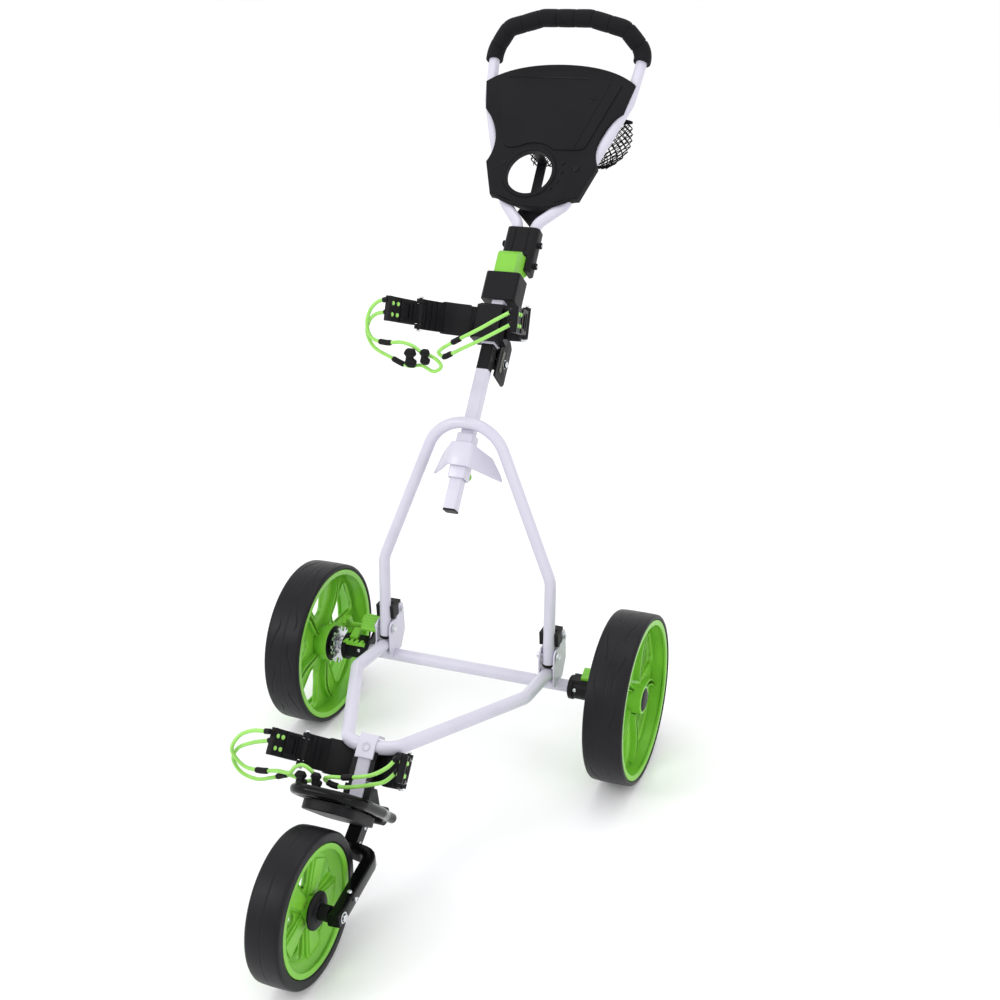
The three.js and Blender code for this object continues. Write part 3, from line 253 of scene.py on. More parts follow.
# ---------------------------------------------------------------- flat outlines and paths
def bezier(start, first, second, end, steps=14):
    """Points along a cubic curve, without its start."""
    points = []
    for step in range(1, steps + 1):
        t = step / steps
        weights = ((1 - t) ** 3, 3 * t * (1 - t) ** 2, 3 * t * t * (1 - t), t ** 3)
        points.append(tuple(
            sum(w * p[i] for w, p in zip(weights, (start, first, second, end)))
            for i in range(len(start))
        ))
    return points


def rounded(points, radius, steps=5):
    """A closed outline with its corners rounded."""
    smooth = []
    for i, point in enumerate(points):
        corner = Vector(point)
        before = Vector(points[i - 1]) - corner
        after = Vector(points[(i + 1) % len(points)]) - corner
        cut = min(radius, 0.48 * before.length, 0.48 * after.length)
        start = corner + before.normalized() * cut
        end = corner + after.normalized() * cut
        for step in range(steps + 1):
            t = step / steps
            smooth.append(tuple(start.lerp(corner, t).lerp(corner.lerp(end, t), t)))
    return smooth


def ring(radius, centre=(0, 0), sides=64):
    angles = [2 * math.pi * i / sides for i in range(sides)]
    return [(centre[0] + radius * math.cos(a), centre[1] + radius * math.sin(a)) for a in angles]


def turned_about(points, angle):
    """A flat outline turned about its origin."""
    cos, sin = math.cos(angle), math.sin(angle)
    return [(x * cos - y * sin, x * sin + y * cos) for x, y in points]


def rounded_square(reach, radius, steps=5):
    """A square whose sides are at the given reach from its middle."""
    corners = [(-reach, -reach), (reach, -reach), (reach, reach), (-reach, reach)]
    return rounded(corners, radius, steps)


def grown(points, by):
    """An outline made larger all round by about the given distance."""
    centre = sum((Vector(p) for p in points), Vector((0, 0))) / len(points)
    return [tuple(centre + (Vector(p) - centre) * (1 + by / (Vector(p) - centre).length))
            for p in points]


def bent(corners, radius, step=math.radians(5)):
    """A path of straight runs with round bends."""
    points = [Vector(corners[0])]
    for before, corner, after in zip(corners, corners[1:], corners[2:]):
        corner = Vector(corner)
        back = (Vector(before) - corner).normalized()
        ahead = (Vector(after) - corner).normalized()
        half = back.angle(ahead) / 2
        centre = corner + (back + ahead).normalized() * (radius / math.sin(half))
        start = corner + back * (radius / math.tan(half)) - centre
        axis = start.cross(corner - centre).normalized()
        turn = math.pi - 2 * half
        count = max(2, math.ceil(turn / step))
        points += [centre + Matrix.Rotation(turn * i / count, 3, axis) @ start
                   for i in range(count + 1)]
    return points + [Vector(corners[-1])]


def evenly(points, spacing):
    """The same path with points about the given distance apart."""
    even = [points[0]]
    for start, end in zip(points, points[1:]):
        count = max(1, round((end - start).length / spacing))
        even += [start.lerp(end, i / count) for i in range(1, count + 1)]
    return even


def lengths_along(points):
    """The length of a path up to each of its points."""
    total = [0.0]
    for start, end in zip(points, points[1:]):
        total.append(total[-1] + (end - start).length)
    return total


def cubic(start, end, leave, arrive, steps):
    """Points from one to another with the given directions at both, without the start."""
    points = []
    for step in range(1, steps + 1):
        t = step / steps
        points.append(
            start + leave * t + (3 * (end - start) - 2 * leave - arrive) * t ** 2
            + (2 * (start - end) + leave + arrive) * t ** 3)
    return points


def catmull_rom(route, steps):
    """Points on the smooth curve through a route's points."""
    knots = [Vector(p) for p in route]
    knots = [2 * knots[0] - knots[1], *knots, 2 * knots[-1] - knots[-2]]
    points = [knots[1]]
    for a, b, c, d in zip(knots, knots[1:], knots[2:], knots[3:]):
        before, here, after = (math.sqrt((q - p).length) for p, q in ((a, b), (b, c), (c, d)))
        leave = ((b - a) / before - (c - a) / (before + here) + (c - b) / here) * here
        arrive = ((c - b) / here - (d - b) / (here + after) + (d - c) / after) * here
        points += cubic(b, c, leave, arrive, steps)
    return points


# ---------------------------------------------------------------- pieces
SMOOTH_ANGLE = math.radians(36)


def add_piece(name, mesh, material, body, replaces=(), slot=None, smooth=True):
    if smooth:
        mesh.shade_smooth()
        mesh.set_sharp_from_angle(angle=SMOOTH_ANGLE)
    mesh.materials.clear()
    mesh.materials.append(material)
    piece = bpy.data.objects.new(name, mesh)
    bpy.context.scene.collection.objects.link(piece)
    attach(piece, body)
    if replaces:
        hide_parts(*replaces)
    return piece


def mesh_of(name, vertices, faces):
    mesh = bpy.data.meshes.new(name)
    mesh.from_pydata([tuple(v) for v in vertices], [], faces)
    mesh.validate()
    return mesh


def grid_faces(rows, columns, closed_rows=False, closed_columns=True):
    """Quads over a grid of vertices stored row by row."""
    faces = []
    for row in range(rows if closed_rows else rows - 1):
        for column in range(columns if closed_columns else columns - 1):
            after = (row + 1) % rows
            beside = (column + 1) % columns
            faces.append((
                row * columns + column, row * columns + beside,
                after * columns + beside, after * columns + column))
    return faces


def outward(mesh, merge=0, fill=False):
    """Turns a mesh's faces outwards, after joining its near vertices and filling its holes."""
    shape = bmesh.new()
    shape.from_mesh(mesh)
    if merge:
        bmesh.ops.remove_doubles(shape, verts=shape.verts, dist=merge)
    if fill:
        bmesh.ops.holes_fill(shape, edges=shape.edges)
    bmesh.ops.recalc_face_normals(shape, faces=shape.faces)
    shape.to_mesh(mesh)
    shape.free()
    return mesh


def tube_mesh(name, path, radius, sides=28):
    """A round bar along a path, with flat ends; radius is a number or a function of the length."""
    along = lengths_along(path)
    radius_at = radius if callable(radius) else (lambda _: radius)
    direction = (path[1] - path[0]).normalized()
    normal = direction.orthogonal().normalized()
    vertices = []
    for i, point in enumerate(path):
        ahead = path[min(i + 1, len(path) - 1)] - path[max(i - 1, 0)]
        turned = ahead.normalized()
        normal = direction.rotation_difference(turned) @ normal
        direction = turned
        side = direction.cross(normal)
        size = radius_at(along[i])
        for k in range(sides):
            angle = 2 * math.pi * k / sides
            vertices.append(point + size * (normal * math.cos(angle) + side * math.sin(angle)))
    faces = grid_faces(len(path), sides)
    last = (len(path) - 1) * sides
    faces.append(tuple(range(sides)))
    faces.append(tuple(range(last + sides - 1, last - 1, -1)))
    return outward(mesh_of(name, vertices, faces))


def tube(name, place, path, radius, material, body, sides=28, **more):
    points = [place @ Vector(p) for p in path]
    return add_piece(name, tube_mesh(name, points, radius, sides), material, body, **more)


def turned(name, place, profile, material, body, segments=96, **more):
    """A profile of (radius, x) points turned round the place's X axis."""
    angles = [2 * math.pi * i / segments for i in range(segments)]
    vertices = [place @ Vector((x, radius * math.cos(a), radius * math.sin(a)))
                for radius, x in profile for a in angles]
    mesh = mesh_of(name, vertices, grid_faces(len(profile), segments))
    return add_piece(name, outward(mesh, merge=1e-6, fill=True), material, body, **more)


def plate(name, place, outlines, depth, material, body, bevel=0.0006, **more):
    """A plate whose middle plane is the place's XY plane: the first outline is its outside and the
    rest are its holes."""
    curve = bpy.data.curves.new(name, "CURVE")
    curve.dimensions = "2D"
    curve.fill_mode = "BOTH"
    curve.extrude = depth / 2 - bevel
    curve.bevel_depth = bevel
    curve.bevel_resolution = 2
    curve.offset = -bevel
    for outline in outlines:
        spline = curve.splines.new("POLY")
        spline.points.add(len(outline) - 1)
        for point, (x, y) in zip(spline.points, outline):
            point.co = (x, y, 0, 1)
        spline.use_cyclic_u = True
    sketch = bpy.data.objects.new(name + "_sketch", curve)
    bpy.context.scene.collection.objects.link(sketch)
    bpy.context.view_layer.update()
    mesh = bpy.data.meshes.new_from_object(sketch.evaluated_get(
        bpy.context.evaluated_depsgraph_get()))
    bpy.data.objects.remove(sketch)
    bpy.data.curves.remove(curve)
    mesh.name = name
    mesh.transform(place)
    return add_piece(name, outward(mesh, merge=2e-6), material, body, **more)


def refined(node, material, bevel=0.0007, slot=None):
    """A copy of a CAD node with its facets shaded smooth and its edges rounded, in its place."""
    source = frame["nodes"][node]
    shape = bmesh.new()
    shape.from_mesh(source.data)
    bmesh.ops.remove_doubles(shape, verts=shape.verts, dist=2e-6)
    bmesh.ops.dissolve_limit(
        shape, angle_limit=math.radians(0.6), verts=shape.verts, edges=shape.edges)
    mesh = bpy.data.meshes.new(node + "_finished")
    shape.to_mesh(mesh)
    shape.free()
    piece = add_piece(
        node + "_finished", mesh, material, source["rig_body"], replaces=[node], slot=slot)
    if bevel:
        edges = piece.modifiers.new("edges", "BEVEL")
        edges.width = bevel
        edges.segments = 2
        edges.limit_method = "ANGLE"
        edges.angle_limit = math.radians(38)
        edges.use_clamp_overlap = True
    return piece


def pointing(centre, direction):
    """A place at a point whose Z, a plate's thickness, points in the given direction."""
    turn = Vector(direction).to_track_quat("Z", "Y")
    return Matrix.Translation(centre) @ turn.to_matrix().to_4x4()


def spinning(centre, direction):
    """A place at a point whose X, a turned piece's axis, points in the given direction."""
    turn = Vector(direction).to_track_quat("X", "Z")
    return Matrix.Translation(centre) @ turn.to_matrix().to_4x4()


def rivet(name, centre, direction, radius, height, material, body):
    """A domed head, with a sunk socket in its middle."""
    profile = [
        (0, -0.0005), (radius, -0.0005), (radius, 0.3 * height), (0.88 * radius, 0.72 * height),
        (0.6 * radius, height), (0.42 * radius, height), (0.38 * radius, 0.55 * height),
        (0, 0.5 * height),
    ]
    return turned(name, spinning(centre, direction), profile, material, body, segments=28)


def hex_head(name, centre, direction, radius, height, material, body):
    """A hexagon head on a round washer."""
    place = pointing(centre, direction)
    washer = place @ Matrix.Translation((0, 0, 0.0006))
    head = place @ Matrix.Translation((0, 0, 0.0012 + height / 2))
    plate(name + "_washer", washer, [ring(1.35 * radius, sides=32)], 0.0012, material, body,
          bevel=0.0003)
    plate(name, head, [rounded(ring(radius, sides=6), 0.08 * radius, 2)], height, material, body,
          bevel=0.0005)


# ---------------------------------------------------------------- elastic cords
CORD_DIAMETER = 0.006
CORD_RADIUS = CORD_DIAMETER / 2
AXLE_Y = REAR_AXLE.y
ROUTES = {
    "lower_left": [
        (-0.113, -0.478, 0.297), (-0.138, -0.477, 0.292), (-0.165, -0.475, 0.275),
        (-0.181, -0.475, 0.246), (-0.164, -0.475, 0.222), (-0.134, -0.475, 0.220),
        (-0.106, -0.475, 0.226), (-0.084, -0.475, 0.228), (-0.074, -0.475, 0.240),
        (-0.060, -0.475, 0.247), (-0.046, -0.474, 0.238), (-0.046, -0.471, 0.224),
        (-0.062, -0.468, 0.213), (-0.092, -0.466, 0.216), (-0.122, -0.465, 0.203),
        (-0.152, -0.464, 0.193), (-0.178, -0.464, 0.200), (-0.188, -0.465, 0.222),
        (-0.176, -0.467, 0.245), (-0.150, -0.469, 0.262), (-0.113, -0.472, 0.277),
    ],
    "lower_right": [
        (0.096, -0.477, 0.295), (0.082, -0.477, 0.278), (0.056, -0.476, 0.258),
        (0.030, -0.475, 0.247), (0.004, -0.475, 0.240), (-0.016, -0.475, 0.236),
        (-0.025, -0.475, 0.231), (-0.016, -0.475, 0.224), (0.004, -0.475, 0.223),
        (0.026, -0.475, 0.229), (0.050, -0.475, 0.238), (0.074, -0.476, 0.250),
        (0.096, -0.477, 0.273),
    ],
    "upper_left": [
        (-0.116, 0.006, 0.811), (-0.130, 0.008, 0.806), (-0.146, 0.010, 0.790),
        (-0.154, 0.010, 0.765), (-0.147, 0.010, 0.743), (-0.122, 0.010, 0.737),
        (-0.094, 0.010, 0.740), (-0.073, 0.009, 0.736), (-0.058, 0.008, 0.727),
        (-0.034, 0.006, 0.720), (-0.023, 0.006, 0.707), (-0.036, 0.006, 0.697),
        (-0.060, 0.009, 0.704), (-0.084, 0.013, 0.699), (-0.116, 0.015, 0.710),
        (-0.148, 0.016, 0.726), (-0.158, 0.016, 0.750), (-0.150, 0.014, 0.772),
        (-0.134, 0.010, 0.785), (-0.116, 0.007, 0.790),
    ],
    "upper_right": [
        (0.101, 0.008, 0.809), (0.072, 0.009, 0.792), (0.046, 0.009, 0.776),
        (0.016, 0.009, 0.759), (-0.010, 0.009, 0.744), (-0.022, 0.009, 0.736),
        (-0.028, 0.009, 0.729), (-0.020, 0.009, 0.723), (-0.006, 0.009, 0.729),
        (0.018, 0.009, 0.742), (0.046, 0.009, 0.757), (0.072, 0.009, 0.772),
        (0.101, 0.008, 0.789),
    ],
}
# Where each cord's sleeves lie, as shares of its length, and the real length of each loop.
SLEEVES = {
    "lower_left": [(0.29, 0.024), (0.62, 0.022)],
    "lower_right": [(0.36, 0.020), (0.56, 0.020)],
    "upper_left": [(0.25, 0.024), (0.69, 0.024)],
    "upper_right": [(0.37, 0.020), (0.57, 0.020)],
}


def cord_curve(name, points):
    curve = bpy.data.curves.new(name, "CURVE")
    curve.dimensions = "3D"
    curve.bevel_depth = CORD_RADIUS
    curve.bevel_resolution = 5
    curve.use_fill_caps = True
    spline = curve.splines.new("POLY")
    spline.points.add(len(points) - 1)
    for knot, point in zip(spline.points, points):
        knot.co = (*point, 1)
    spline.use_smooth = True
    curve.materials.append(LIME)
    piece = bpy.data.objects.new(name, curve)
    bpy.context.scene.collection.objects.link(piece)
    return piece


def stretch_of(points, share, length):
    """The part of a path round a share of its length."""
    along = lengths_along(points)
    middle = share * along[-1]
    return [p for p, a in zip(points, along) if abs(a - middle) <= length / 2]


# Each hook's height and width. All of them ride with the left cords, which they are hooked on.
HOOKS = {
    "lower_left_hook": (0.026, 0.020), "lower_right_hook": (0.024, 0.018),
    "upper_left_hook": (0.032, 0.022), "upper_right_hook": (0.026, 0.018),
}


def add_hook(node, tall, wide):
    """A moulded hook: a waisted shell with a hooked nose and a cross bar behind the cord."""
    low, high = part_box(node)
    centre = (low + high) / 2
    half, width = tall / 2, wide / 2
    outline = rounded([
        (-width, -0.6 * half), (-0.4 * width, -half), (0.7 * width, -half), (width, -0.3 * half),
        (0.35 * width, 0), (width, 0.35 * half), (0.7 * width, half), (-0.5 * width, half),
        (-width, 0.5 * half), (-0.55 * width, 0.1 * half),
    ], 0.003)
    body = frame["nodes"][node]["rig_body"]
    place = Matrix.Translation(centre) @ FACE_ON
    pieces = [plate(node + "_shell", place, [outline], 0.008, BLACK, body, bevel=0.0022,
                    replaces=[node], slot="black_plastic")]
    for number, rise in enumerate((-0.55, 0.0, 0.55), start=1):
        start = centre + Vector((-0.6 * width, -0.0042, rise * half))
        end = centre + Vector((0.5 * width, -0.0042, rise * half))
        rib = tube(f"{node}_rib_{number}", Matrix(), [start, end], 0.0008, BLACK, body, sides=12)
        pieces.append(rib)
    return pieces


def add_cord(label):
    body = label + "_arm"
    points = catmull_rom([(x, y + AXLE_Y, z) for x, y, z in ROUTES[label]], steps=14)
    piece = cord_curve(label + "_elastic", points)
    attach(piece, body)
    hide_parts(label + "_cord")
    on_cord = []
    for hook_node, (tall, wide) in HOOKS.items():
        if frame["nodes"][hook_node]["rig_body"] == body:
            on_cord += add_hook(hook_node, tall, wide)
    for number, (share, length) in enumerate(SLEEVES[label], start=1):
        part = stretch_of(points, share, length)
        reach = lengths_along(part)[-1]

        def radius(at, reach=reach):
            end = min(at, reach - at) / 0.0015
            return 0.0039 + 0.0009 * min(1.0, end)

        mesh = tube_mesh(f"{label}_sleeve_{number}", part, radius, 24)
        on_cord.append(add_piece(
            f"{label}_sleeve_{number}", mesh, BLACK, body, slot="black_plastic"))
    for number, (end, inner) in enumerate(((0, 1), (-1, -2)), start=1):
        away = (points[end] - points[inner]).normalized()
        mouth = [points[end] - away * 0.003, points[end] + away * 0.006]
        name = f"{label}_mouth_{number}"
        on_cord.append(add_piece(
            name, tube_mesh(name, mouth, 0.0043, 24), BLACK, body, slot="black_plastic"))


for label in ROUTES:
    add_cord(label)


# ---------------------------------------------------------------- floor and light
def add_floor():
    half = 80
    mesh = mesh_of(
        "floor", [(-half, -half, 0), (half, -half, 0), (half, half, 0), (-half, half, 0)],
        [(0, 1, 2, 3)])
    floor = bpy.data.objects.new("floor", mesh)
    mesh.materials.append(surface(
        "pale_floor", (0.94, 0.94, 0.95, 1), (0.96, 0.96, 0.97, 1), (0.75, 0.85), 300, 0.01,
        patch=0.6, specular=0.1, edge=0.0001))
    bpy.context.scene.collection.objects.link(floor)


def area_light(name, location, target, size, power):
    data = bpy.data.lights.new(name, "AREA")
    data.shape = "SQUARE"
    data.size = size
    data.energy = power
    light = bpy.data.objects.new(name, data)
    light.location = location
    aim = Vector(target) - Vector(location)
    light.rotation_euler = aim.to_track_quat("-Z", "Y").to_euler()
    bpy.context.scene.collection.objects.link(light)


def add_world():
    world = bpy.data.worlds.new("studio")
    world.use_nodes = True
    sky = world.node_tree.nodes["Background"]
    sky.inputs["Color"].default_value = (1, 1, 1, 1)
    sky.inputs["Strength"].default_value = 1.05
    bpy.context.scene.world = world


add_floor()
add_world()
bpy.context.scene.view_settings.view_transform = "Standard"
MIDDLE = (0, 0, 0.5)
area_light("key", (-2.2, -2.6, 2.8), MIDDLE, 1.2, 34)
area_light("fill", (2.8, -2.0, 1.8), MIDDLE, 1.6, 14)
area_light("top", (0.0, 0.4, 3.4), MIDDLE, 2.0, 16)


# ---------------------------------------------------------------- wheels
def wheel_place(name, side):
    """The wheel's own frame: X points outwards, away from the trolley's middle."""
    turn = Matrix() if side > 0 else Matrix.Rotation(math.pi, 4, "Z")
    return Matrix.Translation(joint_point(name)) @ turn


def groove_depth(around, across, wheel):
    """How deep the tread is cut at a place, around and across in metres."""
    depth = 0.0
    for row, (centre, shift) in enumerate(wheel["rows"]):
        pitch = wheel["pitch"]
        place = ((around / pitch + shift) % 1.0 - 0.5) * pitch
        reach = 0.40 * pitch
        if abs(place) < reach:
            lean = -1 if row % 2 else 1
            middle = centre + lean * wheel["sway"] * math.sin(0.8 * math.pi * place / reach)
            fade = min(1.0, (reach - abs(place)) / 0.010)
            depth = max(depth, fade * math.exp(-((across - middle) / 0.0008) ** 2))
    line = sum(math.exp(-((across - at) / 0.0006) ** 2) for at in wheel["lines"])
    return 0.0010 * depth + 0.0005 * min(1.0, line)


def tyre(name, place, wheel, body, node, around_steps):
    """A foam tyre: rounded shoulders and a tread that is cut into its face."""
    radius, half, seat = wheel["radius"], wheel["width"] / 2, wheel["seat"]
    flat = half - 0.006
    shoulder = [
        (seat + 0.0006, half - 0.003), (seat + 0.0030, half - 0.0003),
        (radius - 0.0052, half - 0.0003), (radius - 0.0028, half - 0.0010),
        (radius - 0.0012, half - 0.0030),
    ]
    across_steps = 64
    face = [(radius - 0.0003 - 0.0006 * abs(1 - 2 * i / across_steps) ** 3,
             flat * (1 - 2 * i / across_steps)) for i in range(across_steps + 1)]
    profile = [(r, x, False) for r, x in shoulder]
    profile += [(r, x, True) for r, x in face]
    profile += [(r, -x, False) for r, x in reversed(shoulder)]
    vertices = []
    for i in range(around_steps):
        angle = 2 * math.pi * i / around_steps
        for r, x, tread in profile:
            cut = groove_depth(angle * radius, x, wheel) if tread else 0.0
            size = r - cut
            vertices.append(place @ Vector((x, size * math.cos(angle), size * math.sin(angle))))
    mesh = mesh_of(name, vertices, grid_faces(around_steps, len(profile), closed_rows=True))
    add_piece(name, outward(mesh), TYRE, body, replaces=[node], slot="tyre_foam")


SPOKES = 5
REAR_TYRE = {
    "radius": 0.147, "width": 0.068, "seat": 0.137, "pitch": 2 * math.pi * 0.147 / 11,
    "rows": [(-0.0165, 0.0), (0.0145, 0.5)], "sway": 0.0045, "lines": [-0.002],
}
FRONT_TYRE = {
    "radius": 0.113, "width": 0.054, "seat": 0.095, "pitch": 1.0, "rows": [], "sway": 0.0,
    "lines": [0.0],
}


def window_outline(inner, outer, spread, corner):
    outline = [
        (-0.35 * spread, inner), (0.35 * spread, inner), (spread, outer - 0.008),
        (0.75 * spread, outer), (-0.75 * spread, outer), (-spread, outer - 0.008),
    ]
    return rounded(outline, corner, 6)


def leaf_outline(middle, half_width):
    """A narrow bowed leaf along a spoke: the two thin ribs that stand on the web."""
    near, far = [], []
    for step in range(17):
        share = step / 16
        reach = 0.030 + 0.096 * share
        angle = math.pi / 2 + middle + 0.16 * math.sin(math.pi * share) - 0.06
        swell = half_width * math.sin(math.pi * (0.06 + 0.88 * share)) ** 0.6
        along = Vector((math.cos(angle), math.sin(angle)))
        across = Vector((-along.y, along.x))
        near.append(tuple(along * reach + across * swell))
        far.append(tuple(along * reach - across * swell))
    return near + far[::-1]


def spoke_turns():
    return [2 * math.pi * i / SPOKES for i in range(SPOKES)]


def windowed_web(label, web, window, rim, wall, wall_depth, body):
    """A rim's web with its windows cut through it and a low wall round each."""
    windows = [turned_about(window, turn) for turn in spoke_turns()]
    plate(label + "_rim_web", web, [rim, *windows], 0.006, GREEN, body, bevel=0.001,
          slot="green_plastic")
    for number, hole in enumerate(windows, start=1):
        plate(f"{label}_window_wall_{number}", web, [grown(hole, wall), hole], wall_depth, GREEN,
              body, bevel=0.0007, slot="green_plastic")


def barrel(name, place, radius, lip, inside, half, body, node):
    """A rim's ring under its tyre, open right through."""
    turned(name, place, [
        (lip, -half), (lip + 0.001, -half - 0.0006), (radius, -half - 0.0006),
        (radius, half + 0.0006), (lip + 0.001, half + 0.0006), (lip, half), (lip, half - 0.003),
        (inside, half - 0.006), (inside, -half + 0.006), (lip, -half + 0.003), (lip, -half),
    ], GREEN, body, segments=144, replaces=[node], slot="green_plastic")


def rear_wheel(label, side):
    body = label + "_wheel"
    place = wheel_place(label + "_wheel_spin", side)
    tyre(label + "_tread", place, REAR_TYRE, body, label + "_tyre", 420)
    barrel(label + "_rim_barrel", place, 0.137, 0.128, 0.1318, 0.0318, body, label + "_rim")
    window = window_outline(0.052, 0.123, 0.036, 0.014)
    web = place @ Matrix.Translation((0.0035, 0, 0)) @ SIDE_ON
    windowed_web(label, web, window, ring(0.1332, sides=120), 0.0022, 0.0105, body)
    for number, turn in enumerate(spoke_turns(), start=1):
        middle = turn + math.pi / SPOKES
        leaf = leaf_outline(middle, 0.0062)
        plate(f"{label}_blade_{number}", web, [leaf, leaf_outline(middle, 0.0040)], 0.026, GREEN,
              body, bevel=0.0007, slot="green_plastic")
    turned(label + "_rim_hub", place, [
        (0.0085, -0.0278), (0.0340, -0.0278), (0.0348, -0.0262), (0.0330, -0.0100),
        (0.0260, 0.0030), (0.0245, 0.0080), (0.0245, 0.0290),
        (0.0232, 0.0303), (0.0205, 0.0303), (0.0200, 0.0290), (0.0085, 0.0285), (0.0085, -0.0278),
    ], GREEN, body, slot="green_plastic")
    turned(label + "_hub_cap", place, [
        (0, 0.0325), (0.010, 0.0324), (0.0165, 0.0318), (0.0192, 0.0305), (0.0196, 0.0280),
        (0, 0.0280),
    ], BLACK, body, slot="black_plastic")
    turned(label + "_bearing_disc", place, [
        (0.0090, -0.0296), (0.0300, -0.0294), (0.0318, -0.0286), (0.0320, -0.0270),
        (0.0090, -0.0270), (0.0090, -0.0296),
    ], BLACK, body, slot="black_plastic")


def brake_star():
    """The silver disc inside the left wheel: eight forked lobes between the brake's notches."""
    low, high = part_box("brake_star")
    centre = Vector(((low.x + high.x) / 2, REAR_AXLE.y, REAR_AXLE.z))
    outer, fork, notch = 0.034, 0.0285, 0.025
    outline = []
    for i in range(8):
        middle = math.radians(90 - 32.5 + 45 * i)
        for degrees, radius in (
            (-8.0, outer), (-10.2, notch), (10.2, notch), (8.0, outer), (18.0, outer),
            (19.5, fork), (25.5, fork), (27.0, outer),
        ):
            angle = middle + math.radians(degrees)
            outline.append((radius * math.cos(angle), radius * math.sin(angle)))
    face = Vector((high.x - 0.0030, centre.y, centre.z))
    place = Matrix.Translation(face) @ SIDE_ON
    outline = rounded(outline, 0.0014, 3)
    plate("brake_star_disc", place, [outline, ring(0.0086)], 0.003, STEEL, "left_wheel",
          bevel=0.0004, replaces=["brake_star"], slot="bright_steel")
    turned("brake_star_carrier", Matrix.Translation((low.x, centre.y, centre.z)), [
        (0.0088, 0), (0.0215, 0), (0.0220, 0.002), (0.0180, high.x - low.x - 0.0045),
        (0.0088, high.x - low.x - 0.0045), (0.0088, 0),
    ], BLACK, "left_wheel", slot="black_plastic")
    for i in range(4):
        angle = math.radians(45 + 90 * i)
        spot = face + Vector((0.0015, 0.0155 * math.cos(angle), 0.0155 * math.sin(angle)))
        rivet(f"star_rivet_{i + 1}", spot, X_AXIS, 0.0028, 0.0014, STEEL, "left_wheel")


def front_wheel():
    body = "front_wheel"
    place = wheel_place("front_wheel_spin", 1)
    tyre("front_tread", place, FRONT_TYRE, body, "front_tyre", 240)
    barrel("front_rim_barrel", place, 0.095, 0.0865, 0.0900, 0.0248, body, "front_rim")
    window = window_outline(0.036, 0.078, 0.019, 0.005)
    web = place @ Matrix.Translation((0.005, 0, 0)) @ SIDE_ON
    windowed_web("front", web, window, ring(0.0912, sides=96), 0.0020, 0.009, body)
    spoke = rounded([(-0.010, 0.014), (0.010, 0.014), (0.0185, 0.072), (0.021, 0.0800),
                     (-0.021, 0.0800), (-0.0185, 0.072)], 0.004)
    step = rounded([(-0.0085, 0.020), (0.0085, 0.020), (0.0150, 0.072), (-0.0150, 0.072)], 0.003)
    for number, turn in enumerate(spoke_turns(), start=1):
        middle = turn + math.pi / SPOKES
        for label, outline, x, depth in (
            ("spoke", spoke, 0.0085, 0.008), ("spoke_face", step, 0.0125, 0.0060),
            ("back_spoke", spoke, 0.0015, 0.008),
        ):
            spot = place @ Matrix.Translation((x, 0, 0)) @ SIDE_ON
            plate(f"front_{label}_{number}", spot, [turned_about(outline, middle)], depth, GREEN,
                  body, bevel=0.0018, slot="green_plastic")
    turned("front_rim_ring", place, [
        (0.0740, 0.007), (0.0765, 0.0105), (0.0810, 0.0125), (0.0860, 0.0165), (0.0905, 0.0215),
        (0.0912, 0.007), (0.0740, 0.007),
    ], GREEN, body, segments=120, slot="green_plastic")
    turned("front_rim_hub", place, [
        (0.0065, -0.0208), (0.0180, -0.0208), (0.0192, -0.0190), (0.0200, 0.0200),
        (0.0190, 0.0210), (0.0065, 0.0210), (0.0065, -0.0208),
    ], GREEN, body, slot="green_plastic")
    turned("front_hub_disc", place, [
        (0.0065, 0.0214), (0.0262, 0.0222), (0.0282, 0.0238), (0.0280, 0.0262),
        (0.0255, 0.0282), (0.0190, 0.0290), (0.0160, 0.0300), (0.0152, 0.0318),
        (0.0065, 0.0318), (0.0065, 0.0214),
    ], BLACK, body, replaces=["front_hub_flange"], slot="black_plastic")


rear_wheel("left", -1)
rear_wheel("right", 1)
brake_star()
front_wheel()


# ---------------------------------------------------------------- lower frame
LEG_X = 0.155
LOWER_TUBE_RADIUS = 0.011
UPPER_TUBE_RADIUS = 0.010


def mirrored_path(points):
    return [*points, *[(-x, y, z) for x, y, z in reversed(points)]]


